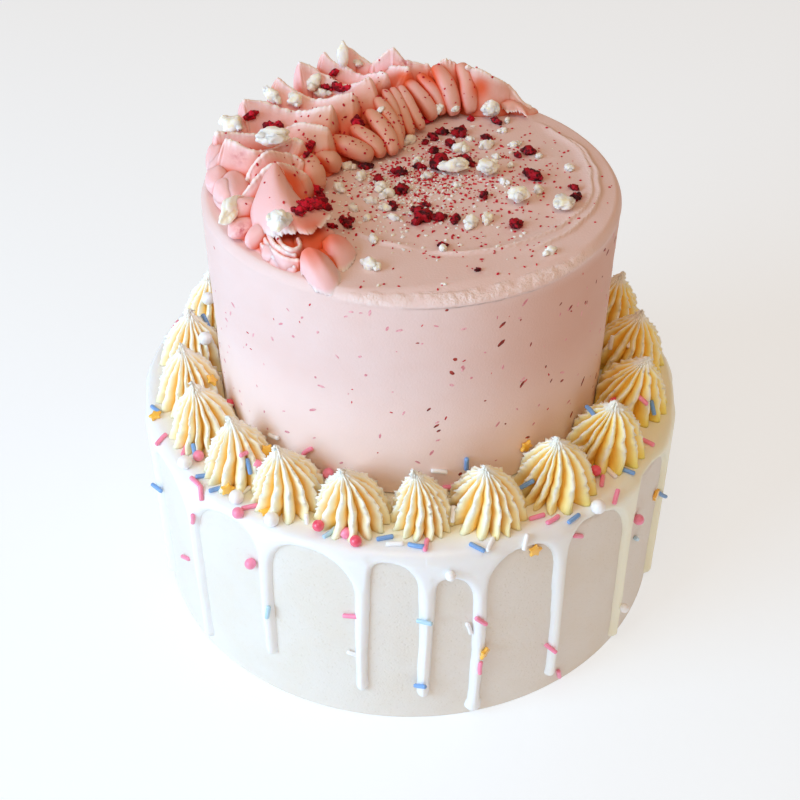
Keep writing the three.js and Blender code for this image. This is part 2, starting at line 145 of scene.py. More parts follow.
# Crescent ruffle: its sweep is the azimuth measured clockwise from the front, seen from above
RUFFLE_OUTER = 70 * MM
RUFFLE_START = 22
RUFFLE_END = 222
BACK_LOBES = 12

# Its inner edge from the front end round: x and y in millimetres
INNER_EDGE = [(-19, -54), (-28, -34), (-29, -4), (-20, 11), (-5, 23), (6, 43), (20, 53), (45, 50)]

# Viewpoint, as it fits the 800 x 800 picture
PICTURE_SIDE = 800
FOCAL_PIXELS = 1215.8
CENTRE_PIXEL = (409.9, 420.0)
VIEWPOINT = Vector((0, -388.2 * MM, 386.8 * MM))
LOOKING_DOWN = 40.07
CAMERA_ROLL = 0.39
SENSOR = 36


def srgb(red, green, blue):
    """Linear colour of an sRGB one given in steps of 0 to 255."""
    parts = []
    for step in (red, green, blue):
        share = step / 255
        parts.append(share / 12.92 if share < 0.04045 else ((share + 0.055) / 1.055) ** 2.4)
    return tuple(parts)


# Second tones of the finishes, several of them painted shade, painted glow or painted highlight
CLOUDED_AND_POCK_SHADE_CREAM = srgb(226, 212, 192)
WARM_BLUSH = srgb(224, 176, 158)
SHADED_BLUSH = srgb(214, 160, 136)
PAINTED_FOOT_GLOW = srgb(255, 230, 222)
TORN_AND_RIDGE_HIGHLIGHT_BLUSH = srgb(248, 226, 220)
STAINED_BLUSH = srgb(206, 52, 66)
TORN_PIPING = srgb(255, 253, 246)
STAINED_PIPING = srgb(196, 24, 62)
WARM_SHADE_KISS = srgb(255, 230, 78)
WARM_SHADE_RUFFLE = srgb(216, 158, 122)
WARM_GLAZE = srgb(250, 240, 222)
BOUNCE_AND_SHADE_GLAZE = srgb(247, 242, 206)
HOLLOW_SHADE_IVORY = srgb(250, 216, 140)
PALE_BLUE = srgb(176, 214, 236)
SUGAR_WHITE = srgb(247, 247, 250)
WHITE = (1, 1, 1)

# Peaks and hollows of the dried berry, the dark hollow tone laid as painted shade: pieces on the tier,
# on the ruffle, dust, and wall flecks
DARK_BERRY = srgb(172, 8, 32), srgb(64, 2, 12)
FRESH_BERRY = srgb(212, 12, 46), srgb(116, 2, 22)
BRIGHT_BERRY = srgb(214, 40, 56)
PALE_FLECK = srgb(236, 172, 178), srgb(222, 140, 150)
DARK_FLECK = srgb(178, 64, 54), srgb(124, 36, 30)

# Light and floor
ROOM_TINT = (1.0, 0.68, 0.43)
ROOM_STRENGTH = 0.4
LIGHT_DISTANCE = 1.3
LIGHT_SIZE = 0.9
LIGHT_AIM = Vector((0, 0, 0.09))
WINDOW = {"azimuth": -58, "elevation": 23, "power": 16.5, "colour": (0.46, 0.74, 1.0)}
CEILING = {"azimuth": -10, "elevation": 66, "power": 4.2, "colour": (1.0, 0.86, 0.68)}
FLOOR_RADIUS = 12
FLOOR_DROP = 0.2 * MM
FLOOR_TINT = (0.46, 0.5, 0.54)
FLOOR_GLOW = (0.96, 0.98, 1.0)
FLOOR_GLOW_STRENGTH = 0.56


def spread(k, step):
    """The k-th of a series of numbers from 0 to 1 that a step spreads evenly."""
    return (k * step) % 1


def lerp(a, b, share):
    return a + (b - a) * share


def clamp(value, low=0.0, high=1.0):
    return max(low, min(high, value))


def smooth(value, low, high):
    share = clamp((value - low) / (high - low))
    return share * share * (3 - 2 * share)


def polar(radius, azimuth, z=0.0):
    angle = math.radians(azimuth)
    return Vector((radius * math.sin(angle), -radius * math.cos(angle), z))


def azimuth_of(place):
    return math.degrees(math.atan2(place.x, -place.y))


def rough(place, size, seed=0):
    """Smooth random height from -1 to 1 with lumps about a size across."""
    return noise.noise(place / size + Vector((7.3, 3.1, 5.7)) * seed)


# Meshes


def grid(columns, rows):
    """A flat unit grid: x and y run from 0 to 1."""
    bm = bmesh.new()
    bmesh.ops.create_grid(bm, x_segments=columns, y_segments=rows, size=0.5)
    bmesh.ops.translate(bm, verts=bm.verts, vec=(0.5, 0.5, 0))
    return bm


def ball(subdivisions, radius=1):
    bm = bmesh.new()
    bmesh.ops.create_icosphere(bm, subdivisions=subdivisions, radius=radius)
    return bm


def reshaped(bm, move):
    for vertex in bm.verts:
        vertex.co = move(vertex.co)
    return bm


def marked(bm, name, value):
    """Keeps a number from 0 to 1 on every vertex, for the finish to read."""
    layer = bm.verts.layers.float.new(name)
    for vertex in bm.verts:
        vertex[layer] = clamp(value(vertex.co))
    return bm


def closed(bm, distance=0.01 * MM):
    """Merges seams and poles, and turns the faces outwards."""
    bmesh.ops.remove_doubles(bm, verts=bm.verts, dist=distance)
    bmesh.ops.dissolve_degenerate(bm, dist=distance / 10, edges=bm.edges)
    bmesh.ops.recalc_face_normals(bm, faces=bm.faces)
    return bm


def finished(bm, name, finish, replaces=(), soft=True):
    """Makes the piece's object, which rides on the cake."""
    mesh = bpy.data.meshes.new(name)
    bm.to_mesh(mesh)
    bm.free()
    mesh.materials.append(finish)
    if soft:
        mesh.shade_smooth()
    piece = bpy.data.objects.new(name, mesh)
    bpy.context.scene.collection.objects.link(piece)
    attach(piece, "root")
    if replaces:
        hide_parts(*replaces)
    return piece


# Finishes


class Reading:
    """A value in a finish: arithmetic on it adds Math nodes."""

    def __init__(self, finish, socket):
        self.finish = finish
        self.socket = socket

    def math(self, operation, first, second):
        return self.finish.node("ShaderNodeMath", {"operation": operation}, {0: first, 1: second})

    def __add__(self, other):
        return self.math("ADD", self, other)

    def __sub__(self, other):
        return self.math("SUBTRACT", self, other)

    def __rsub__(self, other):
        return self.math("SUBTRACT", other, self)

    def __mul__(self, other):
        return self.math("MULTIPLY", self, other)

    __radd__ = __add__
    __rmul__ = __mul__


class Finish:
    """A material round one Principled shader, whose even values are set on its own sockets."""

    def __init__(self, name, **evenly):
        self.material = bpy.data.materials.new(name)
        self.material.use_nodes = True
        self.tree = self.material.node_tree
        self.shader = self.tree.nodes["Principled BSDF"]
        for name, value in evenly.items():
            socket = name.replace("_", " ").title().replace("Ior", "IOR")
            self.feed(self.shader.inputs[socket], value)
        self.place = self.node("ShaderNodeTexCoord", output="Object")

    def glow(self, weight, reach, tint):
        """Lets light in under the surface, to a reach that differs from tint to tint."""
        for name, value in (("Weight", weight), ("Scale", reach), ("Radius", tint)):
            self.feed(self.shader.inputs["Subsurface " + name], value)

    def feed(self, socket, value):
        if isinstance(value, Reading):
            self.tree.links.new(value.socket, socket)
        elif socket.type == "RGBA":
            socket.default_value = (*value[:3], 1)
        else:
            socket.default_value = value

    def node(self, kind, settings=None, inputs=None, output=0):
        made = self.tree.nodes.new(kind)
        for name, value in (settings or {}).items():
            setattr(made, name, value)
        for key, value in (inputs or {}).items():
            self.feed(made.inputs[key], value)
        return Reading(self, made.outputs[output])

    def grain(self, size, detail=2.0, ruggedness=0.5, stretch=(1, 1, 1)):
        """Noise from 0 to 1 with lumps about a size across."""
        scale = tuple(part / size for part in stretch)
        place = self.node("ShaderNodeMapping", inputs={"Vector": self.place, "Scale": scale})
        inputs = {"Vector": place, "Scale": 1.0, "Detail": detail, "Roughness": ruggedness}
        return self.node("ShaderNodeTexNoise", inputs=inputs)

    def pits(self, size):
        """Distance to the middle of the nearest of many cells, each about a size across."""
        scale = (1 / size,) * 3
        place = self.node("ShaderNodeMapping", inputs={"Vector": self.place, "Scale": scale})
        return self.node("ShaderNodeTexVoronoi", inputs={"Vector": place, "Scale": 1.0})

    def step(self, value, low, high):
        inputs = {"Value": value, "From Min": low, "From Max": high}
        return self.node("ShaderNodeMapRange", {"interpolation_type": "SMOOTHSTEP"}, inputs)

    def mark(self, name):
        return self.node("ShaderNodeAttribute", {"attribute_name": name}, output="Fac")

    def mix(self, share, first, second):
        inputs = {0: share, 6: first, 7: second}
        return self.node("ShaderNodeMix", {"data_type": "RGBA"}, inputs, output=2)

    def emboss(self, height, depth):
        inputs = {"Height": height, "Distance": depth, "Strength": 1.0}
        self.feed(self.shader.inputs["Normal"], self.node("ShaderNodeBump", inputs=inputs))

    def colour(self, value):
        self.feed(self.shader.inputs["Base Color"], value)

    def roughness(self, value):
        self.feed(self.shader.inputs["Roughness"], value)


def toned(colour, other, share):
    return tuple(lerp(a, b, share) for a, b in zip(colour, other))


def smoothed_cream(name, colour, warm):
    """Cream smoothed with a scraper: matt, with fine pocks and faint cloudy tones, and a warmer tone
    in the pocks as painted shade.
    """
    finish = Finish(name)
    finish.glow(0.12, 2 * MM, (1.0, 0.7, 0.5))
    clouds = finish.step(finish.grain(22 * MM, 3), 0.35, 0.7)
    pocks = finish.step(finish.pits(1.7 * MM), 0.0, 0.35)
    fine = finish.grain(0.9 * MM, 3)
    # The cloudy tones vary at random; the warmer tone in the pocks is painted shade.
    finish.colour(finish.mix(clouds * 0.5 + (1 - pocks) * 0.35, colour, warm))
    finish.emboss(pocks * 0.35 + fine * 0.55 + finish.grain(6 * MM) * 0.8, 0.28 * MM)
    finish.roughness(finish.grain(5 * MM) * 0.2 + 0.5)
    return finish.material


def scraped_cream(name, colour):
    """Blush cream: smooth, with faint streaks round it, and pale where its rim is torn; painted shade
    on its right-hand side, a painted glow near its foot and painted highlights along the spatula
    ridges.
    """
    finish = Finish(name)
    finish.glow(0.12, 2 * MM, (1.0, 0.6, 0.5))
    streaks = finish.grain(9 * MM, 4, 0.6, (0.25, 0.25, 1.6))
    clouds = finish.step(finish.grain(26 * MM, 2), 0.3, 0.75)
    fine = finish.grain(0.8 * MM, 3)
    torn_and_ridge_highlight = finish.mark("torn")
    cloudy = toned(colour, WARM_BLUSH, 0.45)
    warm = finish.mix(clouds * 0.45 + streaks * 0.25, colour, cloudy)
    # Painted shade: the right-hand side of the wall takes the shaded tone.
    sided = finish.mix(finish.mark("side"), warm, SHADED_BLUSH)
    # Painted glow: the wall grows paler and warmer towards its foot, as if lit from below.
    with_foot_glow = finish.mix(finish.mark("foot"), sided, PAINTED_FOOT_GLOW)
    juice = finish.mark("stained") * finish.step(finish.grain(3 * MM, 3), 0.35, 0.7)
    stained = finish.mix(juice * 0.6, with_foot_glow, STAINED_BLUSH)
    # Pale where the rim is torn, and a painted highlight along the spatula ridges.
    finish.colour(finish.mix(torn_and_ridge_highlight * 0.6, stained, TORN_AND_RIDGE_HIGHLIGHT_BLUSH))
    crumbled = finish.grain(1.6 * MM, 4, 0.65) * torn_and_ridge_highlight * 2
    finish.emboss(fine * 0.28 + streaks * 0.5 + crumbled, 0.3 * MM)
    finish.roughness(finish.grain(7 * MM) * 0.18 + 0.5)
    return finish.material


def piped_cream(name, crest, warm, crease_shade, glow, levels):
    """Piped cream: satin and glowing, with painted shade deepening its creases and a painted warm
    shade where it is marked warm, paler and rougher where it is torn.
    """
    finish = Finish(name)
    finish.glow(0.35, 1.6 * MM, glow)
    ragged = finish.mark("torn")
    openly = finish.mark("crest") + finish.grain(9 * MM, 3) * 0.2 - 0.1
    open_colour = finish.mix(finish.mark("warm"), crest, warm)
    # Painted shade: the crease tone fills where the crest mark is low.
    body = finish.mix(finish.step(openly, *levels), crease_shade, open_colour)
    pale = finish.mix(ragged * 0.95, body, toned(crest, TORN_PIPING, 0.9))
    juice = finish.mark("stained") * finish.step(finish.grain(1.5 * MM, 3), 0.3, 0.7)
    finish.colour(finish.mix(juice * 0.8, pale, STAINED_PIPING))
    tears = finish.grain(0.9 * MM, 4, 0.7) * ragged
    finish.emboss(finish.grain(1.2 * MM, 3) * 0.2 + tears * 0.45, 0.3 * MM)
    finish.roughness(ragged * 0.2 + finish.grain(4 * MM) * 0.15 + 0.4)
    return finish.material


def poured_glaze(name, colour):
    """Set glaze: glossy, with soft cloudy tones, and creamier where it is marked as inner: painted
    bounce light from the kisses between them and painted shade on its right-hand side.
    """
    finish = Finish(name, coat_weight=0.25, coat_roughness=0.18)
    finish.glow(0.25, 2.5 * MM, (1.0, 0.8, 0.6))
    clouds = finish.grain(14 * MM, 2)
    white = finish.mix(clouds * 0.3, colour, toned(colour, WARM_GLAZE, 0.7))
    finish.colour(finish.mix(finish.mark("inner"), white, BOUNCE_AND_SHADE_GLAZE))
    finish.emboss(finish.grain(5 * MM, 2) * 0.6 + finish.grain(0.7 * MM, 2) * 0.12, 0.25 * MM)
    finish.roughness(finish.grain(8 * MM) * 0.14 + 0.26)
    return finish.material


def crumbly(name, colour, shade, size=0.9 * MM):
    """Brittle, porous pieces: pale peaks and yellower hollows, a painted shade."""
    finish = Finish(name, roughness=0.6)
    finish.glow(0.5, 2 * MM, (1.0, 0.9, 0.6))
    lumps = finish.grain(size * 3, 4, 0.6)
    # Painted shade: the shade tone fills the low parts of the bump.
    finish.colour(finish.mix(finish.step(lumps, 0.28, 0.52), shade, colour))
    finish.emboss(lumps * 0.35 + finish.grain(size * 0.6, 3) * 0.2, 0.2 * MM)
    return finish.material


def dried_berry(name, colour, shade):
    """Dried fruit: dull, with bright peaks and dark hollows; its two reds are its own, and the dark
    one in the hollows is painted shade.
    """
    finish = Finish(name, specular_ior_level=0.25)
    lumps = finish.grain(2.2 * MM, 3, 0.6)
    # Painted shade: the darker red fills the low parts of the bump.
    finish.colour(finish.mix(finish.step(lumps, 0.42, 0.58), shade, colour))
    finish.emboss(lumps + finish.pits(0.8 * MM) * 0.8, 0.4 * MM)
    finish.roughness(finish.grain(2 * MM) * 0.3 + 0.4)
    return finish.material


def sugar_shell(name, colour, sheen=0.4):
    """Pressed sugar with a thin polish."""
    finish = Finish(name, coat_weight=sheen, coat_roughness=0.2)
    finish.glow(0.1, 1 * MM, (1.0, 0.7, 0.6))
    mottle = finish.grain(1.1 * MM, 3)
    finish.colour(finish.mix(mottle * 0.5, colour, toned(colour, WHITE, 0.25)))
    finish.emboss(mottle, 0.08 * MM)
    finish.roughness(mottle * 0.2 + 0.28)
    return finish.material


# Lower tier and drip glaze


def wall_radius(sizes, z):
    return sizes.lower_radius - LOWER_TAPER * z / sizes.lower_height


def arc(centre, radius, start, end, steps):
    """Points of an arc in a profile, as (radius, height) pairs."""
    points = []
    for k in range(steps + 1):
        angle = math.radians(lerp(start, end, k / steps))
        points.append((centre[0] + radius * math.cos(angle), centre[1] + radius * math.sin(angle)))
    return points


def spun(profile, steps):
    """A profile of (radius, height) pairs that starts and ends on the axis, turned about it."""
    bm = bmesh.new()
    corners = [bm.verts.new((0, -r, z)) for r, z in profile]
    edges = [bm.edges.new(pair) for pair in zip(corners, corners[1:])]
    bmesh.ops.spin(bm, geom=corners + edges, cent=(0, 0, 0), axis=(0, 0, 1), angle=math.tau,
                   steps=steps, use_merge=True)
    return closed(bm)


def evenly(start, end, steps):
    return [lerp(start, end, k / steps) for k in range(steps)]


def lower_tier(sizes):
    radius = sizes.lower_radius
    height = sizes.lower_height
    shoulder = (radius - LOWER_TAPER - LOWER_EDGE, height - LOWER_EDGE)
    foot = arc((radius - FOOT_BEVEL, FOOT_BEVEL), FOOT_BEVEL, -90, 0, 3)
    wall = [(wall_radius(sizes, z), z) for z in evenly(3 * MM, height - LOWER_EDGE, 56)]
    profile = [(0, 0), *foot, *wall, *arc(shoulder, LOWER_EDGE, 0, 90, 5), (0, height)]

    def uneven(place):
        if place.z < FOOT_BEVEL * 0.9:
            return place
        swell = rough(place, 30 * MM) * 0.35 + rough(place, 9 * MM, 1) * 0.12
        return place + Vector((place.x, place.y, 0)).normalized() * (swell - 0.2) * MM

    return reshaped(spun(profile, 288), uneven)


def all_drips():
    """Azimuth and tip height of each drip: the back ones go on at an uneven step."""
    drips = [(azimuth, tip * MM) for azimuth, tip in zip(FRONT_DRIPS, FRONT_TIPS)]
    last = FRONT_DRIPS[-1]
    step = (360 + FRONT_DRIPS[0] - last) / (BACK_DRIPS + 1)
    for k in range(1, BACK_DRIPS + 1):
        jitter = BACK_DRIP_JITTER * (spread(k, GOLDEN) - 0.5)
        tip = LOWEST_BACK_TIP + BACK_TIP_RANGE * spread(k, GOLDEN_REST)
        drips.append((last + step * k + jitter, tip))
    return drips


DRIPS = all_drips()


def arch_after(index):
    """Azimuth and crown height of the arch between a drip and the next one round."""
    if index < len(FRONT_ARCHES):
        return FRONT_ARCHES[index], FRONT_CROWNS[index] * MM
    start = DRIPS[index][0]
    end = DRIPS[index + 1][0] if index + 1 < len(DRIPS) else DRIPS[0][0] + 360
    return lerp(start, end, 0.42 + 0.16 * spread(index, GOLDEN)), BACK_CROWN


def flare(reach, crown, z):
    """How far a drip stands out past its stem where it opens into an arch, and how fast it widens."""
    height = FLARE_RATIO * reach + FLARE_START
    q = clamp((z - crown + height) / height, 0, 0.995)
    root = math.sqrt(1 - q * q)
    return reach * (1 - root), reach * q / (height * root)


def drip_crown(index):
    """Height where a drip leaves the curtain: the higher of the arches beside it."""
    return max(arch_after((index - 1) % len(DRIPS))[1], arch_after(index)[1])


def up_drip(index, z):
    """How far up a drip a height is, from 0 at its tip to 1 where it leaves the curtain."""
    tip = DRIPS[index][1]
    return clamp((z - tip) / (drip_crown(index) - tip))


def stem_half(index, z):
    """Half width of a drip's stem at a height."""
    tip = DRIPS[index][1]
    bulb = (1.0 if index == BULBOUS_DRIP else 0.25) * MM
    bulge = bulb * math.exp(-(((z - tip - 3 * MM) / (3 * MM)) ** 2))
    half = lerp(DRIP_TIP_HALF, DRIP_STEM_HALF, up_drip(index, z)) + bulge
    return half + rough(Vector((0, 0, z)), 14 * MM, index + 1) * 0.35 * MM


def inside_drip(index, aside, z, after):
    """How far inside a drip's outline a point is, on the side of one of the arches beside it."""
    arch, crown = arch_after(index if after else (index - 1) % len(DRIPS))
    away = (arch - DRIPS[index][0]) % 360 if after else (DRIPS[index][0] - arch) % 360
    tip = DRIPS[index][1]
    half = stem_half(index, z)
    if z < tip + half:
        return half - math.hypot(aside, z - tip - half)
    opened, slope = flare(math.radians(away) * LOWER_RADIUS - DRIP_STEM_HALF, crown, z)
    return (half + opened - aside) / math.sqrt(1 + slope * slope)


def inside_near(index, aside, z, after):
    """The same, with both sides of the drip made equal at its middle."""
    own = inside_drip(index, aside, z, after)
    if aside > 3 * MM:
        return own
    return lerp(max(own, inside_drip(index, aside, z, not after)), own, smooth(aside, 0, 3 * MM))


def merged(a, b, round_off=2.5 * MM):
    """The larger of two numbers, rounded off where they are close."""
    mix = max(round_off - abs(a - b), 0) / round_off
    return max(a, b) + mix * mix * round_off / 4


def glaze_depth(sizes, index, share, z):
    """Thickness of the glaze on the wall between a drip and the next: negative where it is bare."""
    following = (index + 1) % len(DRIPS)
    gap = math.radians((DRIPS[following][0] - DRIPS[index][0]) % 360) * sizes.lower_radius
    sway, next_sway = (0.5 * MM * math.sin(z / (16 * MM) + k) for k in (index, following))
    left = inside_near(index, abs(share * gap - sway), z, True)
    right = inside_near(following, abs(gap - share * gap + next_sway), z, False)
    inside = merged(merged(left, right), z - arch_after(index)[1])
    if inside <= 0:
        return max(HIDDEN_DEPTH, 1.3 * inside)
    along, next_along = (up_drip(k, z) for k in (index, following))
    up = lerp(along, next_along, smooth(share, 0.3, 0.7))
    full = lerp(sizes.drip_thickness, sizes.glaze_thickness, up**2)
    across = min(inside / GLAZE_LIP, 1)
    return full * math.sqrt(1 - (1 - across) ** 2)


def glaze_rows(sizes):
    """Rows of the glazed profile: place (radius, height), outward normal, and if glaze may be bare."""
    low = 1.2 * MM
    bend = GLAZE_TOP - GLAZE_SHOULDER
    rows = [((0, low), (0, -1), False)]
    for z in [*evenly(low, 70 * MM, 62), *evenly(70 * MM, bend, 20)]:
        rows.append(((wall_radius(sizes, z), z), (1, 0), True))
    turn = wall_radius(sizes, sizes.lower_height) + sizes.glaze_thickness - GLAZE_SHOULDER
    for k in range(11):
        angle = math.radians(9 * k)
        normal = (math.cos(angle), math.sin(angle))
        reach = GLAZE_SHOULDER - sizes.glaze_thickness
        place = (turn + reach * normal[0], bend + reach * normal[1])
        rows.append((place, normal, True))
    for r in [*evenly(turn - 1 * MM, 74 * MM, 22), 66 * MM, 0]:
        rows.append(((r, GLAZE_TOP - sizes.glaze_thickness), (0, 1), False))
    return rows


def drip_glaze(sizes):
    """The glaze as one closed skin that dips into the tier wherever the wall is bare."""
    rows = glaze_rows(sizes)
    per_gap = 38
    columns = per_gap * len(DRIPS)

    def poured(flat):
        column = round(flat.x * columns) % columns
        index, part = divmod(column, per_gap)
        share = part / per_gap
        share -= 0.6 * math.sin(math.tau * share) / math.tau
        (radius, z), normal, may_be_bare = rows[round(flat.y * (len(rows) - 1))]
        start = DRIPS[index][0]
        gap = (DRIPS[(index + 1) % len(DRIPS)][0] - start) % 360
        azimuth = start + gap * share
        if may_be_bare:
            depth = glaze_depth(sizes, index, share, z + sizes.glaze_thickness * normal[1])
        else:
            depth = sizes.glaze_thickness if normal[1] > 0 else 0
        place = polar(radius + depth * normal[0], azimuth, z + depth * normal[1])
        if normal[1] > 0:
            place.z += rough(place, 16 * MM, 2) * 0.35 * MM * normal[1]
        if radius < 1 * MM:
            place = Vector((0, 0, place.z))
        return place

    bm = closed(reshaped(grid(columns, len(rows) - 1), poured))

    def painted_bounce_and_shade(place):
        # Painted bounce light from the kisses on the glaze between them, and painted shade towards the
        # right-hand side.
        between_kisses = 0.6 * (1 - smooth(math.hypot(place.x, place.y), 94 * MM, 101 * MM))
        return max(between_kisses, 0.8 * smooth(place.x, 45 * MM, 98 * MM))

    return marked(bm, "inner", painted_bounce_and_shade)


# Upper tier


def rim_band(azimuth):
    """How far the rim slopes inwards: the rough scraped band at the front is wider."""
    off = (azimuth - SCRAPED_CENTRE) / SCRAPED_HALF
    return RIM_BAND + (SCRAPED_BAND * math.cos(off * math.pi / 2) if abs(off) < 1 else 0)


def torn_rim(place):
    """1 on the torn band of the rim, 0 away from it."""
    azimuth = azimuth_of(place)
    radius = math.hypot(place.x, place.y)
    along = smooth(azimuth, -24, -10) * (1 - smooth(azimuth, 44, 62))
    inner = UPPER_RADIUS - 0.62 * rim_band(azimuth) + rough(place, 5 * MM, 3) * 1.2 * MM
    across = smooth(radius, inner, inner + 1 * MM) * smooth(place.z, 168 * MM, 170.2 * MM)
    patchy = smooth(rough(place, 7 * MM, 4), -0.75, 0.05)
    return along * across * patchy


def spatula_marks(place):
    """Height of the low ridges that the spatula leaves on the top face, from 0 to 1."""
    away = Vector((place.x - 10 * MM, place.y - 2 * MM))
    turn = math.degrees(math.atan2(away.y, away.x))
    ridge = 0.0
    for first, last, start, widening in SPATULA_ARCS:
        if first < turn < last:
            ring = (start + widening * (turn - first)) * MM + rough(place, 12 * MM, 5) * 1.2 * MM
            off = (away.length - ring) / (0.6 * MM)
            fade = smooth(turn, first, first + 14) * (1 - smooth(turn, last - 14, last))
            tail = 1 if off > 0 else SPATULA_TAIL
            ridge = max(ridge, fade * math.exp(-off * off * tail))
    return ridge


def berry_stain(place):
    """How much the juice of the berry pieces has stained the top face."""
    nearest = 0.0
    for x, y, half in BERRY_BITS:
        away = (place.x - x * MM) ** 2 + (place.y - y * MM) ** 2
        nearest = max(nearest, math.exp(-away / (1.7 * half * MM) ** 2))
    return nearest


def upper_tier(sizes):
    radius = sizes.upper_radius
    brow = UPPER_TOP - RIM_TURN
    foot = arc((radius - FOOT_BEVEL, UPPER_FOOT + FOOT_BEVEL), FOOT_BEVEL, -90, 0, 2)
    up = evenly(92 * MM, 164 * MM, 40) + evenly(164 * MM, brow, 10)
    rim = arc((radius - RIM_TURN, brow), RIM_TURN, 0, 90, 6)
    across = evenly(radius - RIM_TURN - 0.6 * MM, 62 * MM, 18)
    across += evenly(62 * MM, 42 * MM, 34) + evenly(42 * MM, 4 * MM, 20)
    wall = [(radius, z) for z in up]
    top = [(r, UPPER_TOP) for r in across]
    profile = [(0, UPPER_FOOT), *foot, *wall, *rim, *top, (0, UPPER_TOP)]

    def scraped(place):
        r = math.hypot(place.x, place.y)
        if place.z < 90 * MM or r < 1 * MM:
            return place
        outward = Vector((place.x, place.y, 0)) / r
        azimuth = azimuth_of(place)
        swell = rough(place, 34 * MM, 6) * 0.4 * MM + rough(place, 8 * MM, 7) * 0.12 * MM
        if place.z < brow - 0.01 * MM:
            lowered = 1.65 * MM * smooth(place.z, UPPER_TOP - 14 * MM, brow)
            return place - Vector((0, 0, lowered)) + outward * (swell - 0.25 * MM)
        band = rim_band(azimuth)
        deep = lerp(1.1, 2.2, smooth(band, RIM_BAND, RIM_BAND + SCRAPED_BAND)) * MM
        drop = deep * smooth(r, radius - band - 0.5 * MM, radius)
        torn = torn_rim(place)
        crumble = rough(place, 2.4 * MM, 8) * 0.45 + rough(place, 1.1 * MM, 9) * 0.25 + 0.06
        crumble *= torn
        level = swell * 0.6 + spatula_marks(place) * 0.85 * MM - 0.35 * MM
        return place + Vector((0, 0, level - drop + crumble * MM)) + outward * crumble * 0.25 * MM

    def torn(place):
        # The rim's torn band, plus a painted highlight along the spatula ridges on the top face.
        ridges = 0.8 * spatula_marks(place) ** 4 if place.z > 172 * MM else 0
        return torn_rim(place) + ridges

    # Painted shade on the right-hand side of the wall below the rim.
    def side(place):
        below_rim = 1 - smooth(place.z, 164 * MM, 172 * MM)
        return 0.8 * smooth(place.x, 5 * MM, 64 * MM) * below_rim

    # Painted glow near the foot, paler and warmer towards the glaze.
    def painted_foot_glow_share(place):
        return 1 - smooth(place.z, 92 * MM, 146 * MM)

    def stained(place):
        return berry_stain(place) if place.z > 171 * MM else 0

    bm = reshaped(spun(profile, 600), scraped)
    for name, share in (("torn", torn), ("side", side), ("stained", stained), ("foot", painted_foot_glow_share)):
        marked(bm, name, share)
    return bm


# Piped kisses


def kiss_azimuths():
    last = FRONT_KISSES[-1]
    step = (360 + FRONT_KISSES[0] - last) / (BACK_KISSES + 1)
    return [*FRONT_KISSES, *(last + step * (k + 1) for k in range(BACK_KISSES))]


KISSES = kiss_azimuths()


def kiss_scale(index):
    """How much larger a kiss is than the ones on the left: most on the right."""
    return 1 + KISS_LARGER * max(0, math.cos(math.radians(KISSES[index] - LARGEST_KISS_AT)))


def kiss_share(index):
    """A kiss's radius as a share of a common one's."""
    return kiss_scale(index) * (SMALL_KISS_SHARE if index == SMALL_KISS else 1)


def bay_after(index):
    """Azimuth between a kiss and the next one round, where they press on each other."""
    following = (index + 1) % len(KISSES)
    gap = (KISSES[following] - KISSES[index]) % 360
    return KISSES[index] + gap * kiss_share(index) / (kiss_share(index) + kiss_share(following))


def kiss_lean(index):
    """Where a kiss's tip leans to: outwards, and sideways against the way round they were piped."""
    larger = (kiss_scale(index) - 1) / KISS_LARGER
    uneven = KISS_LEAN_RANGE * (spread(index, GOLDEN_REST) - 0.5)
    outwards = KISS_LEAN + KISS_LARGER_LEAN * larger + uneven
    return polar(outwards, KISSES[index]) + polar(KISS_SWAY, KISSES[index] - 90)


def kiss_outline(rise):
    """Radius of a kiss at a share of its height: tucked in at the foot, domed, then a short peak."""
    dome = max(0.0, 1 - (rise / 0.89) ** 1.9) ** 0.85
    tuck = 1 - 0.06 * (1 - smooth(rise, 0, 0.16))
    return max(dome, 1.15 * (1 - rise)) * tuck


def pressed(place, azimuth, side):
    """Squeezes a point back towards one side of the upright plane at an azimuth."""
    across = polar(1, azimuth + 90)
    over = -side * place.dot(across)
    return place + across * side * over * 0.8 if over > 0 else place


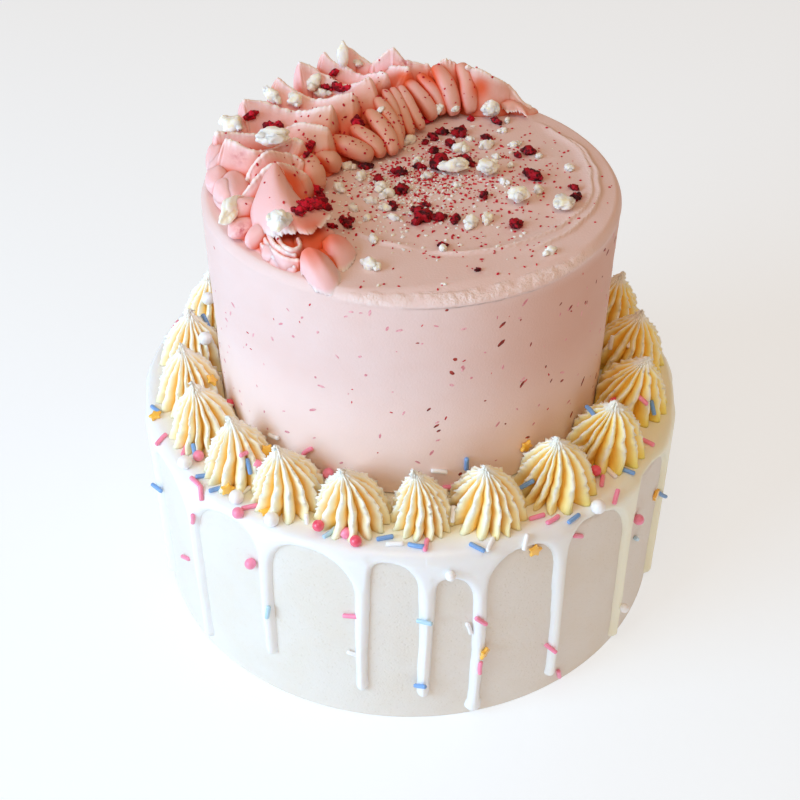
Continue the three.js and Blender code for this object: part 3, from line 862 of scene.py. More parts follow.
def kiss(sizes, index):
    """A ridged, pointed drop of cream with sharp, feathered fins."""
    bearing = KISSES[index]
    radius = kiss_share(index) * sizes.kiss_radius
    height = kiss_scale(index) * sizes.kiss_height * (0.97 + 0.06 * spread(index, GOLDEN))
    lean = kiss_lean(index)
    centre = polar(KISS_RING, bearing, GLAZE_TOP)
    fins = sizes.kiss_fins
    ridges = {}

    def piped(flat):
        angle = math.tau * flat.x
        rise = clamp(flat.y * 1.12 - 0.12)
        under = flat.y < 0.1
        part = (fins * flat.x) % 1
        from_ridge = 1 - abs(2 * part - 1)
        which = math.floor(fins * flat.x + 0.5) % fins
        uneven = spread(which * 3 + index, GOLDEN)
        depth = (0.36 + 0.1 * uneven) * from_ridge**2
        flat_foot = clamp(flat.y / 0.1) if under else 1
        spoke = radius * kiss_outline(rise) * flat_foot * (1 - depth * (1 - rise * 0.15))
        ridge = (1 - from_ridge) ** 3
        spot = Vector((which * 1.7, rise * 10, index * 3.1))
        feather = noise.noise(spot * 2.6) * 0.55 + noise.noise(spot * 6.1) * 0.45
        tip = smooth(rise, 0.8, 0.9) * (1 - smooth(rise, 0.98, 1))
        raggedness = max(ridge * smooth(rise, 0.02, 0.35) * (1 - smooth(rise, 0.97, 1)), tip)
        spoke += raggedness * feather * 2.8 * MM
        turn = angle + sizes.kiss_twist * rise + spread(index, GOLDEN_REST)
        turn += 0.09 * noise.noise(spot * 0.6)
        turn += 0.1 * math.sin(2 * angle + index) + 0.05 * math.sin(3 * angle + 2 * index)
        bow = height * (rise + 0.02 * ridge * math.sin(math.pi * rise))
        place = Vector((spoke * math.cos(turn), spoke * math.sin(turn), bow))
        place += centre + lean * rise * rise
        place += polar(0.4 * MM, 360 * spread(index, GOLDEN)) * smooth(rise, 0.8, 1)
        place = pressed(place, bay_after(index), -1)
        place = pressed(place, bay_after((index - 1) % len(KISSES)), 1)
        r = max(math.hypot(place.x, place.y), sizes.upper_radius + 0.15 * MM)
        place = polar(r, azimuth_of(place), place.z)
        ridges[tuple(place)] = (1 - from_ridge**2, raggedness)
        return place

    columns = fins * 10
    bm = reshaped(grid(columns, 38), piped)
    crest = bm.verts.layers.float.new("crest")
    torn = bm.verts.layers.float.new("torn")
    for vertex in bm.verts:
        ridge, raggedness = ridges[tuple(vertex.co)]
        rise = (vertex.co.z - GLAZE_TOP) / height
        # The crest mark sets painted shade: low in the grooves between the fins, higher towards the
        # tip.
        vertex[crest] = clamp(ridge * 0.75 + 0.35 * smooth(rise, 0.55, 1))
        vertex[torn] = clamp(raggedness * 1.3 + smooth(rise, 0.7, 0.88))
    # Painted warm shade on the right-hand side of the ring.
    marked(bm, "warm", lambda place: 0.8 * smooth(place.x, 0, 92 * MM))
    return closed(bm)


# Crescent ruffle


def curve_through(points):
    """A smooth curve through a few places, by the share of the way along it."""
    knots = [Vector(point) for point in points]

    def at(share):
        wanted = clamp(share) * (len(knots) - 1)
        k = min(int(wanted), len(knots) - 2)
        t = wanted - k
        p0 = knots[max(k - 1, 0)]
        p3 = knots[min(k + 2, len(knots) - 1)]
        p1, p2 = knots[k], knots[k + 1]
        return 0.5 * (2 * p1 + (p2 - p0) * t + (2 * p0 - 5 * p1 + 4 * p2 - p3) * t**2
                      + (3 * p1 - p0 - 3 * p2 + p3) * t**3)

    return at


INNER_LINE = curve_through([(x * MM, y * MM, 0) for x, y in INNER_EDGE])
EDGE_POINTS = [INNER_LINE(k / 160) for k in range(161)]
EDGE_LENGTHS = list(accumulate((b - a).length for a, b in zip(EDGE_POINTS, EDGE_POINTS[1:])))


def station(share):
    """The crescent at a share of its length: outer edge, the way across it, and its width."""
    outer = polar(RUFFLE_OUTER, -lerp(RUFFLE_START, RUFFLE_END, share))
    inner = EDGE_POINTS[bisect_right(EDGE_LENGTHS, clamp(share) * EDGE_LENGTHS[-1] * 0.999)]
    return outer, (inner - outer).normalized(), (inner - outer).length


def at_height(x, y, z):
    """The place at a height in millimetres that a pixel of the picture shows."""
    way = camera_turn() @ pixel_way((x, y))
    return VIEWPOINT + way * ((z * MM - VIEWPOINT.z) / way.z)


def line_seen(points):
    return curve_through([at_height(*point) for point in points])


# Crests of the folds from the front end on, and how far their faces reach forwards at the outer
# and the inner end. A point of a crest is the pixel that shows it and its height in millimetres.
FOLDS = [
    ([(254, 214, 178), (259, 196, 182), (267, 178, 186), (277, 167, 189), (285, 178, 186.5),
      (293, 192, 183), (303, 204, 179.5)], 12, 8),
    ([(241, 196, 180), (250, 184, 184), (262, 170, 187.5), (276, 161, 190), (285, 164, 187.5),
      (296, 167, 185), (305, 173, 183)], 7.5, 13),
    ([(247, 179, 181), (250, 168, 184.5), (258, 158, 187.5), (269, 149.5, 189.5), (280, 152, 187),
      (291, 153, 185.5), (301, 159, 183.5)], 7.5, 8),
    ([(226, 138, 190), (240, 144, 188.5), (257, 151, 186.5), (275, 147, 184.5), (291, 138, 186),
      (301, 141, 186)], 12, 10),
    ([(216, 132, 189), (235, 132, 188), (257, 134, 186.5), (275, 130, 185), (300, 122, 187),
      (318, 125, 188), (327, 127, 187.5)], 8, 10),
    ([(243, 99, 190), (262, 100.5, 188.5), (283, 108.5, 185.5), (300, 111.5, 184.5), (318, 108, 187.5),
      (324, 106, 189.3), (331, 105, 190)], 16, 13),
    ([(277, 76, 192), (290, 87, 188.5), (302, 94, 186), (318, 100, 184.5), (335, 95.5, 187.5),
      (345, 93, 189.5), (352, 92, 190)], 14, 15),
    ([(299, 61, 193), (313, 67, 190), (330, 77, 187), (345, 85, 185), (358, 82, 188),
      (363, 79, 190), (369, 76, 191)], 12, 15),
    ([(324, 51, 194), (333, 61, 190.5), (347, 67, 188), (362, 74, 186), (375, 72, 188.5),
      (386, 73, 190)], 10, 12),
    ([(344, 45, 195), (354, 50, 192), (365, 60, 188.5), (380, 66, 187), (395, 65, 189),
      (408, 67.5, 190)], 9, 12),
    ([(374, 62, 189), (383, 54, 192), (393, 47, 194.5), (402, 57, 191), (412, 61.5, 189),
      (428, 64, 188)], 8, 14),
    ([(434, 68, 188), (440, 61, 190.5), (446, 58.5, 191.5), (456, 62, 190), (463, 69, 187.5)], 9, 8),
    ([(460, 70, 188), (467, 65.5, 190.5), (473, 67, 190), (477, 74, 188)], 4, 4),
    ([(468, 68.5, 189), (476, 67.5, 190.5), (484, 71, 189.5), (499, 79, 186.5), (510, 84.5, 183.5),
      (521, 99, 178.5), (530, 106, 175.5)], 6, 3),
    ([(254, 229, 176), (261, 242, 176), (271, 253, 176), (282, 260, 175.5),
      (295, 265, 175)], 1.6, 1.6),
    ([(261, 229, 177.5), (267, 241, 177.5), (276, 251, 177.5), (287, 257, 177),
      (298, 259, 176.5)], 1.6, 1.6),
    ([(268, 231, 179), (274, 242, 179), (284, 249, 178.7), (295, 253, 178)], 1.5, 1.5),
    ([(277, 234, 179.6), (282, 243, 179.6), (291, 248, 179.6), (300, 245, 179.6),
      (298, 237, 179.6)], 1.4, 1.4),
]
THIN_FOLDS = 4

# Finger-like folds below the inner ends: upper and lower end as above, and width
FINGERS = [
    ((303, 158, 181), (321, 188, 175), 8),
    ((314, 158, 178.5), (340, 166, 175.5), 8),
    ((330, 141, 180), (371, 158, 175.5), 8),
    ((354, 128, 181), (381, 155, 175.5), 6.6),
    ((370, 112, 183), (393, 152, 175.5), 6.6),
    ((377, 100, 184.5), (400, 146, 175.5), 6),
    ((383, 92, 185), (403, 136, 176.5), 4.6),
    ((391, 90, 185), (412, 133, 175.5), 5),
    ((400, 88, 185), (421, 128, 175.5), 5),
    ((409, 82, 185), (432, 118, 175.5), 6.6),
    ((421, 75, 186.5), (442, 113, 175.5), 5.8),
    ((436, 67, 189), (455, 113, 175.5), 7),
    ((460, 65, 189.5), (472, 111, 175.5), 6.8),
]

# Where berry juice has stained the ruffle: pixel and height
STAINS = [
    (463, 97, 180), (310, 212, 182), (322, 210, 181.5), (336, 206, 179.5), (345, 152, 178),
    (240, 158, 184), (262, 148, 186), (243, 230, 177.5), (342, 134, 181), (405, 66, 188),
    (331, 180, 177),
]
STAIN_REACH = 2.6 * MM

# Where painted shade deepens the ruffle's tone in its hollows: pixel, height and reach
SHADED_HOLLOWS = [
    (480, 88, 184, 4), (291, 181, 184, 6), (311, 240, 178, 8), (284, 244, 178.5, 3),
    (428, 75, 187, 5), (405, 77, 187, 4), (358, 127, 180, 5),
]

# Rounded lobes at the outer foot of the front end: pixel, height and half sizes
FRONT_LOBES = [
    ((219, 160, 179), (5, 8.5, 6.4)),
    ((220, 181, 177), (5, 8, 5.4)),
    ((226, 199, 175.6), (4, 8.5, 3.4)),
    ((234, 190, 177), (6, 10, 5.4)),
    ((246, 211, 178), (6, 4.8, 4.8)),
    ((244, 228, 175.8), (6, 5, 3.2)),
    ((262, 235, 176.4), (6.6, 3.2, 4.2)),
    ((312, 243, 175), (9, 6, 4.4)),
    ((283, 250, 174.4), (7, 6.4, 3.7)),
]


# Petals: the one draped over the front end, the one that hangs over the rim, and two torn flaps.
# Each has its head line, its torn rim, the way it faces, its bulge and thickness in millimetres,
# its columns and the openness of its tone at the head, which sets its painted shade there.
PETALS = [
    ([(251, 212, 178), (257, 196, 184), (265, 177, 188), (276, 164, 191), (284, 174, 188.5),
      (292, 188, 184.8), (303, 201, 182), (317, 207, 180.5)],
     [(251, 219, 177), (254, 231, 177), (266, 236, 178), (280, 235, 180), (295, 233, 181.5),
      (308, 236, 181.8), (320, 229, 181.5), (330, 214, 181)],
     (-0.2, -0.65, 0.7), 3.4, 2.2, 96, 0.9),
    ([(302, 252, 180), (309, 247.5, 181), (319, 250, 180.5)],
     [(299.5, 260, 175.5), (302, 276, 172.6), (313, 289, 171.2), (331, 297, 169.9),
      (341, 284, 172.4), (338, 268, 173), (328, 256, 175.5)],
     (-0.1, -0.8, 0.6), 2, 1.5, 64, 0.45),
    ([(322, 243, 177), (331, 236, 178.4), (343, 238, 176.6), (352, 246, 174.6)],
     [(324, 254, 174.6), (331, 266, 173.2), (342, 271, 172.9), (352, 264, 172.9),
      (357, 254, 172.9)],
     (0.1, -0.4, 0.9), 1.4, 1.5, 64, 0.75),
    ([(500, 103, 177.5), (510, 100, 178), (522, 104, 176.5)],
     [(502, 109, 176), (510, 112, 175.5), (518, 112, 175.5), (528, 118, 175)],
     (0, -0.6, 0.8), 1.2, 1.4, 64, 0.9),
]
FIRST_PETAL_SEED = 11
PETAL_ROWS = 36


def torn_edge(place, seed):
    """Uneven height of a torn edge, from about -1 to 1."""
    spot = place / MM + Vector((seed * 3.7, 0, 0))
    return noise.noise(spot * 0.19) + noise.noise(spot * 0.6) * 0.6 + noise.noise(spot * 1.3) * 0.65


def fold_loop(turn):
    """Where the loop round a fold stands: share along the crest, and shares forwards and inwards.

    The loop runs down the front side, round the inner end, up the back and round the outer end."""
    if turn < 0.38:
        return turn / 0.38, 1, 0
    if turn < 0.5:
        angle = math.pi * (turn - 0.38) / 0.12
        return 1, math.cos(angle), math.sin(angle)
    if turn < 0.88:
        return 1 - (turn - 0.5) / 0.38, -1, 0
    angle = math.pi * (turn - 0.88) / 0.12
    return 0, -math.cos(angle), -math.sin(angle)


def fold(index, marks):
    """A fold of the ribbon: torn crest, full front face and steep back, with rounded ends."""
    points, outer_reach, inner_reach = FOLDS[index]
    thin = index >= len(FOLDS) - THIN_FOLDS
    crest = line_seen(points)
    columns, rows, brink = (100, 14, 4) if thin else (190, 18, 5)
    half = (0.7 if thin else 0.95) * MM
    bottom = UPPER_TOP - 0.9 * MM

    def made(flat):
        share, forward, inward = fold_loop(flat.x % 1)
        before = crest(max(share - 0.06, 0))
        after = crest(min(share + 0.06, 1))
        top = crest(share).lerp((before + after) / 2, 0.6)
        course = after - before
        steep = smooth(abs(course.z) / course.xy.length, 0.3, 1.2)
        course = Vector((course.x, course.y, 0)).normalized()
        ahead = Vector((course.y, -course.x, 0))
        row = round(flat.y * rows)
        reach = lerp(outer_reach, inner_reach, smooth(share, 0.1, 0.9)) * MM
        behind = min(reach * 0.4, 4 * MM)
        side = (reach if forward > 0 else behind) * forward
        end = (1.4 if thin else 3.6) * MM * inward
        tear = torn_edge(top, index) * (1 - 0.6 * steep)
        if row == rows:
            return Vector((top.x, top.y, bottom))
        raised = (0.3 if thin else 0.7) * MM * tear
        if row <= brink:
            angle = math.pi / 2 * row / brink
            out = half * (1 + 0.4 * tear) * math.sin(angle)
            place = top + (ahead * forward + course * inward) * out
            place.z += raised * (1 - 0.8 * row / brink) - half * (1 - math.cos(angle))
            marks[tuple(place)] = (1, clamp(0.7 + 0.5 * tear) * (1 - 0.5 * row / brink))
            return place
        w = (row - brink) / (rows - 1 - brink)
        full = 0.25 + 0.4 * smooth(share, 0.3, 0.95) if forward > 0 else 0.25
        full = max(full, abs(inward))
        quarter = math.pi / 2 * w
        wide = lerp(w**1.1, math.sin(quarter), full)
        drop = lerp(w, 1 - math.cos(quarter), full * 0.9)
        away = ahead * (forward * half + (side - forward * half) * wide)
        away += course * (inward * half + (end - inward * half) * wide)
        place = top + away
        place.z = lerp(top.z - half, bottom, drop) + 0.2 * raised * (1 - smooth(w, 0, 0.2))
        swell = rough(place, 9 * MM, index) * 0.8 + rough(place, 4 * MM, index + 3) * 0.2
        swell *= 0.9 * MM * math.sin(math.pi * min(w, 0.5))
        place += (ahead * forward + course * inward) * swell
        # Painted shade: the face's tone deepens towards its foot.
        marks[tuple(place)] = (1 - 0.5 * smooth(w, 0.3, 1), clamp(0.45 * (1 - 8 * w)))
        return place

    return reshaped(grid(columns, rows), made)


def petal(index, marks):
    """A smooth sheet that fans out from its head line to a torn rim, thinner towards the rim."""
    head, rim, facing, bulge, thick, columns, head_tone = PETALS[index]
    seed = FIRST_PETAL_SEED + index
    top = line_seen(head)
    edge = line_seen(rim)
    up = Vector(facing).normalized()

    def made(flat):
        part = flat.y * 2 - 1
        down = 1 - abs(part) ** 1.8
        sign = 1 if part < 0 else -1
        start = top(flat.x)
        end = edge(flat.x)
        run = end - start
        ragged = smooth(down, 0.85, 1)
        tear = torn_edge(end, seed)
        half = thick * MM / 2 * lerp(1, 0.3, down) * math.sqrt(1 - clamp(down, 0, 0.998) ** 16)
        sides = clamp(min(flat.x, 1 - flat.x) * columns / 5)
        half *= math.sqrt(1 - (1 - sides) ** 2)
        crown = math.sin(math.pi * down) ** 0.8 * math.sin(math.pi * flat.x) ** 0.6
        place = start.lerp(end, down) + run.normalized() * ragged * tear * 1.7 * MM
        place += up * (bulge * MM * crown + sign * half + rough(place, 8 * MM, seed) * 0.4 * MM)
        # Painted shade: deeper near the head on the upper side, and deep under the petal.
        pale = lerp(head_tone, 1, smooth(down, 0, 0.8)) if part < 0 else 0.1
        marks[tuple(place)] = (pale, ragged * clamp(0.6 + tear * 0.5))
        return place

    return reshaped(grid(columns, PETAL_ROWS), made)


def capsule(upper, lower, width, seed, marks):
    """A rounded finger of cream between two places."""
    bm = bmesh.new()
    bmesh.ops.create_uvsphere(bm, u_segments=36, v_segments=26, radius=1)
    start, end = at_height(*upper), at_height(*lower)
    run = end - start
    aside = run.cross(Vector((0, 0, 1))).normalized()
    up = aside.cross(run).normalized()

    def made(place):
        along = place.z
        fuller = max(1 - along * along, 0.02) ** -0.17
        swell = fuller * (1 + 0.1 * noise.noise(Vector((along * 1.7, seed, 0))) + 0.06 * along)
        spot = start + run * (0.5 + 0.54 * along)
        x, y = (math.copysign(abs(part) ** 0.85, part) for part in place.xy)
        spot += aside * (width / 2 * MM * x * swell + 0.6 * MM * math.sin(2 * along + seed))
        spot += up * (width * 0.42 * MM * y * swell + 1.2 * MM * (1 - along * along))
        # Painted shade: the underside of the finger is deeper in tone.
        marks[tuple(spot)] = (0.7 + 0.3 * max(y, 0), 0)
        return spot

    return reshaped(bm, made)


def mound(marks):
    """The body under the folds, which rises over the tier's top face."""
    columns = 220
    rows = 22

    def made(flat):
        share = flat.x
        angle = math.pi * flat.y
        outer, across, width = station(share)
        height = min(5 * MM, 0.3 * width) * math.sin(math.pi * clamp(share, 0.12, 0.88)) ** 0.6
        reach = 0.93 * (width / 2) + rough(outer, 6 * MM, 2) * 0.9 * MM
        place = outer + across * (width / 2 - reach * math.cos(angle) - 1 * MM)
        ends = math.sqrt(1 - (1 - clamp(min(share, 1 - share) * 26)) ** 2)
        place.z = UPPER_TOP - 1.2 * MM + (height + 1.2 * MM) * math.sin(angle) ** 0.7 * ends
        # Painted shade: the mound's tone deepens from its outer foot inwards, under the folds.
        marks[tuple(place)] = (0.9 - 0.78 * smooth(flat.y, 0.2, 0.45), 0)
        return place

    return reshaped(grid(columns, rows), made)


def lobe(centre, half, bearing, marks, seed):
    """A smooth rounded fold of cream at the foot of the ruffle."""
    along = polar(1, bearing)
    aside = polar(1, bearing + 90)

    def made(place):
        swell = 1 + 0.12 * noise.noise(place * 1.3 + Vector((seed, 0, 0)))
        x, y, z = (part * reach * MM * swell for part, reach in zip(place, half))
        spot = centre + along * x + aside * y + Vector((0, 0, z))
        # Painted shade: lighter on top, deeper in tone underneath.
        marks[tuple(spot)] = (1 + 0.4 * place.z, 0)
        return spot

    return reshaped(ball(4), made)


def foot_lobes(marks):
    """Lobes round the outer foot: the ones at the front end, then one for each low fold."""
    lobes = []
    for k, (spot, half) in enumerate(FRONT_LOBES):
        centre = at_height(*spot)
        lobes.append(lobe(centre, half, azimuth_of(centre), marks, k))
    for k in range(BACK_LOBES):
        share = lerp(0.26, 0.93, (k + 0.3 * spread(k, GOLDEN)) / BACK_LOBES)
        outer, across, _ = station(share)
        centre = outer + across * 3.4 * MM + Vector((0, 0, 177 + 2.4 * spread(k, GOLDEN))) * MM
        size = 4.4 + 1.2 * spread(k, GOLDEN_REST)
        lobes.append(lobe(centre, (size, size * 1.5, size * 1.2), azimuth_of(outer), marks, k))
    return lobes


def joined(parts):
    """One mesh of several."""
    whole = bmesh.new()
    for part in parts:
        mesh = bpy.data.meshes.new("part")
        part.to_mesh(mesh)
        part.free()
        whole.from_mesh(mesh)
        bpy.data.meshes.remove(mesh)
    return whole


def openness(bm, reach):
    """For each vertex, the share of the ways out that nothing blocks within a reach."""
    bm.normal_update()
    tree = BVHTree.FromBMesh(bm)
    heights = [1 - (k + 0.5) / 20 for k in range(26)]
    ways = [polar(math.sqrt(1 - z * z), GOLDEN_TURN * k, z) for k, z in enumerate(heights)]
    shares = {}
    for vertex in bm.verts:
        start = vertex.co + vertex.normal * 0.15 * MM
        facing = [(way, way.dot(vertex.normal)) for way in ways if way.dot(vertex.normal) > 0.2]
        free = sum(dot for way, dot in facing if tree.ray_cast(start, way, reach)[0] is None)
        shares[vertex] = free / max(sum(dot for way, dot in facing), 0.01)
    for _ in range(2):
        evened = {}
        for vertex, share in shares.items():
            beside = [shares[edge.other_vert(vertex)] for edge in vertex.link_edges]
            evened[vertex] = 0.4 * share + 0.6 * sum(beside) / len(beside)
        shares = evened
    return shares


def ruffle():
    marks = {}
    parts = [mound(marks), *(petal(index, marks) for index in range(len(PETALS)))]
    parts += [*foot_lobes(marks), *(fold(index, marks) for index in range(len(FOLDS)))]
    parts += [capsule(*finger, k, marks) for k, finger in enumerate(FINGERS)]
    for part in parts:
        crest = part.verts.layers.float.new("crest")
        torn = part.verts.layers.float.new("torn")
        for vertex in part.verts:
            vertex[crest], vertex[torn] = marks.get(tuple(vertex.co), (0, 0))
    bm = closed(joined([closed(part) for part in parts]))
    crest = bm.verts.layers.float["crest"]
    stained = bm.verts.layers.float.new("stained")
    warm = bm.verts.layers.float.new("warm")
    stains = [(at_height(*stain), STAIN_REACH) for stain in STAINS]
    hollows = [(at_height(x, y, z), reach * MM) for x, y, z, reach in SHADED_HOLLOWS]

    def nearness(place, spots):
        return max(math.exp(-(((place - spot).length / reach) ** 2)) for spot, reach in spots)

    # Painted shade: openness and the shaded hollows deepen the tone in creases and hollows.
    for vertex, share in openness(bm, reach=11 * MM).items():
        vertex[crest] = clamp(vertex[crest] * share) * (1 - 0.85 * nearness(vertex.co, hollows))
        vertex[stained] = nearness(vertex.co, stains)
        # Painted warm shade towards the middle of the cake and on the right-hand side.
        inner = 1 - smooth(math.hypot(vertex.co.x, vertex.co.y), 32 * MM, 62 * MM)
        vertex[warm] = 0.85 * max(inner, 0.7 * smooth(vertex.co.x, -12 * MM, 22 * MM))
    return bm


# Loose toppings

PEARL_RADIUS = 2.1 * MM
LARGE_PEARL_RADIUS = 2.7 * MM
SMALL_PEARL_RADIUS = 1.9 * MM
BIT_FLATNESS = 0.8
DUST_REACH = 72 * MM
FLECK_HALF_THICKNESS = 0.07 * MM
FLECK_HEIGHTS = (96, 168)

# Where the lines that look for the cake start, clear of it
CLEAR_HEIGHT = 0.25
CLEAR_RADIUS = 0.2

# Sprinkles at the back: their azimuths, how many lie on the glaze's top, at which radii, and at
# which heights the others lie on its wall, both in millimetres, and a height above all of them
BACK_START = 118
BACK_SWEEP = 140
SHARE_ON_TOP = 0.72
TOP_RADII = (79, 104.5)
WALL_HEIGHTS = (40, 84)
HIGHEST_SPRINKLE = 104 * MM


class Bed:
    """The surfaces that loose toppings lie on."""

    def __init__(self, pieces):
        graph = bpy.context.evaluated_depsgraph_get()
        self.trees = [BVHTree.FromObject(piece, graph) for piece in pieces]

    def hit(self, start, way):
        """Place and normal where a line first meets the cake, or None."""
        found = None
        for tree in self.trees:
            place, normal, _, distance = tree.ray_cast(start, way)
            if place and (found is None or distance < found[2]):
                found = (place, normal if normal.dot(way) < 0 else -normal, distance)
        return found[:2] if found else None

    def below(self, x, y):
        return self.hit(Vector((x, y, CLEAR_HEIGHT)), Vector((0, 0, -1)))

    def beside(self, azimuth, z):
        outward = polar(1, azimuth)
        return self.hit(outward * CLEAR_RADIUS + Vector((0, 0, z)), -outward)

    def seen(self, pixel):
        return self.hit(VIEWPOINT, camera_turn() @ pixel_way(pixel))


def camera_turn():
    """The camera's rotation: tilted down, then rolled about its own line of sight."""
    tilt = Matrix.Rotation(math.radians(90 - LOOKING_DOWN), 3, "X")
    return tilt @ Matrix.Rotation(math.radians(CAMERA_ROLL), 3, "Z")


def pixel_way(pixel):
    """Direction of a pixel of the picture, in the camera's own axes."""
    x = (pixel[0] - CENTRE_PIXEL[0]) / FOCAL_PIXELS
    y = (CENTRE_PIXEL[1] - pixel[1]) / FOCAL_PIXELS
    return Vector((x, y, -1))


def laid(place, normal, turn, lift, size=(1, 1, 1), pitch=0.0):
    """Where a topping lies: its own Z axis along the normal, turned about it and lifted off."""
    upright = normal.to_track_quat("Z", "Y")
    spin = Quaternion((0, 0, 1), turn) @ Quaternion((0, 1, 0), pitch)
    return Matrix.LocRotScale(place + normal * lift, upright @ spin, Vector(size))


def copies(shape, places):
    """One mesh of many copies of a small shape."""
    corners = [vertex.co.copy() for vertex in shape.verts]
    shape.verts.index_update()
    faces = [[vertex.index for vertex in face.verts] for face in shape.faces]
    shape.free()
    vertices = []
    polygons = []
    for matrix in places:
        start = len(vertices)
        vertices.extend(matrix @ corner for corner in corners)
        polygons.extend([start + k for k in face] for face in faces)
    mesh = bpy.data.meshes.new("copies")
    mesh.from_pydata(vertices, [], polygons)
    bm = bmesh.new()
    bm.from_mesh(mesh)
    bpy.data.meshes.remove(mesh)
    return bm


def rounded(bm, edges, offset, segments):
    bmesh.ops.bevel(bm, geom=edges, offset=offset, segments=segments, profile=0.5,
                    affect="EDGES", material=-1)


def strand(radius, length, bend):
    """A little rod with rounded ends along X, bent sideways."""
    bm = bmesh.new()
    bmesh.ops.create_cone(bm, cap_ends=True, segments=10, radius1=radius, radius2=radius,
                          depth=length)

    def rise(edge):
        return abs(edge.verts[0].co.z - edge.verts[1].co.z)

    rounded(bm, [edge for edge in bm.edges if rise(edge) < length / 2], radius * 0.55, 2)
    walls = [edge for edge in bm.edges if rise(edge) > length / 2]
    bmesh.ops.subdivide_edges(bm, edges=walls, cuts=5)
    bmesh.ops.rotate(bm, verts=bm.verts, cent=(0, 0, 0), matrix=Matrix.Rotation(math.pi / 2, 3, "Y"))
    return reshaped(bm, lambda p: Vector((p.x, p.y + bend * p.x * p.x, p.z)))


def star(radius, thickness):
    """A plump five-pointed star."""
    bm = bmesh.new()
    corners = []
    for k in range(10):
        reach = radius * (0.56 if k % 2 else 1)
        corners.append(bm.verts.new(polar(reach, 36 * k, -thickness / 2)))
    face = bm.faces.new(corners)
    raised = bmesh.ops.extrude_face_region(bm, geom=[face])["geom"]
    raised = [item for item in raised if isinstance(item, bmesh.types.BMVert)]
    bmesh.ops.translate(bm, verts=raised, vec=(0, 0, thickness))
    rounded(bm, bm.edges[:], thickness * 0.3, 3)
    return closed(bm)


def lump(half, seed, subdivisions, knobs):
    """A broken, knobbly piece with uneven flat sides."""
    bm = ball(subdivisions)
    cuts = []
    for k in range(LUMP_CUTS):
        spots = (seed, k, 0.5), (k, seed, 2.5), (seed, k, 7.5)
        cuts.append(Vector([noise.noise(Vector(spot)) for spot in spots]).normalized())

    def broken(place):
        for k, way in enumerate(cuts):
            over = place.dot(way) - (0.62 + 0.25 * spread(k + seed, GOLDEN))
            if over > 0:
                place = place - way * over * LUMP_CUT_DEPTH
        swell = 1 + knobs * noise.noise(place * 1.7 + Vector((seed * 2.3, 0, 0)))
        swell += knobs * 0.45 * noise.noise(place * 4.3 + Vector((0, seed, 0)))
        return Vector(a * b for a, b in zip(place * swell, half))

    return reshaped(bm, broken)


# Loose pieces that the picture shows, by the pixel at their middle
PINK_STRANDS = [
    (162, 440), (185, 451), (196, 482), (202, 493), (194, 518), (187, 557), (243, 454), (250, 508),
    (308, 450), (450, 486), (426, 546), (537, 518), (553, 521), (577, 535), (602, 482), (615, 497),
    (643, 399), (647, 443), (660, 549), (351, 615), (481, 620), (479, 667), (481, 711), (551, 647),
    (558, 673),
]
BLUE_STRANDS = [
    (205, 321), (156, 410), (196, 451), (204, 477), (217, 490), (158, 487), (250, 466), (385, 539),
    (416, 547), (477, 548), (466, 463), (527, 483), (592, 411), (653, 407), (627, 472), (573, 519),
    (661, 494), (669, 462), (421, 685),
]
PALE_BLUE_STRANDS = [(330, 534), (425, 621), (635, 538), (268, 611)]
WHITE_STRANDS = [
    (275, 436), (248, 490), (307, 521), (395, 545), (439, 470), (454, 514), (525, 542), (584, 446),
    (611, 474), (611, 342), (630, 341), (355, 653), (469, 627), (490, 545),
]
PINK_PEARLS = [
    (199, 459), (259, 463), (240, 514), (346, 536), (253, 561), (330, 471), (635, 518),
]
DEEP_PINK_PEARLS = [(233, 403), (321, 524), (356, 544), (612, 400), (599, 470)]
WHITE_PEARLS = [(186, 466), (237, 501), (272, 523), (595, 508), (200, 340)]
SMALL_WHITE_PEARLS = [(450, 573), (621, 607)]
GOLD_STARS = [
    (211, 381), (156, 417), (153, 482), (227, 488), (266, 512), (266, 450), (525, 445), (534, 549),
    (654, 494), (665, 516), (483, 652),
]

# Ivory pieces on the top face and on the ruffle: x, y and half size in millimetres
IVORY_BITS = [
    (-25.5, -8.4, 2.7), (-23, 7.6, 2.6), (-18, 0.3, 2.6), (-10.7, -8.2, 3), (-8.5, -13.1, 2.8),
    (-1, 27.3, 2.6), (5.2, 0.6, 2.2), (28, 24.6, 2.9), (18.2, 21.3, 3.2), (19.8, -31.6, 3.2),
    (25.6, -28.9, 2.6), (44.7, -8.9, 2.3), (-12.8, -57.9, 3.2), (45.3, -48.9, 2.2),
    (-12.3, -42.2, 1.9), (10.4, -47.5, 1.7), (31, 16, 1.7), (36, 10, 1.6), (33, -3, 1.9),
    (40, 27, 1.5), (22, 30, 1.5), (57, 8, 2.2), (16, -5, 1.6), (-14, -17, 2), (-20, -22, 1.8),
    (-9, -22, 2), (-6, -28, 1.9), (-15, -28, 1.7), (2, 13, 1.7), (47, 17, 1.6),
]
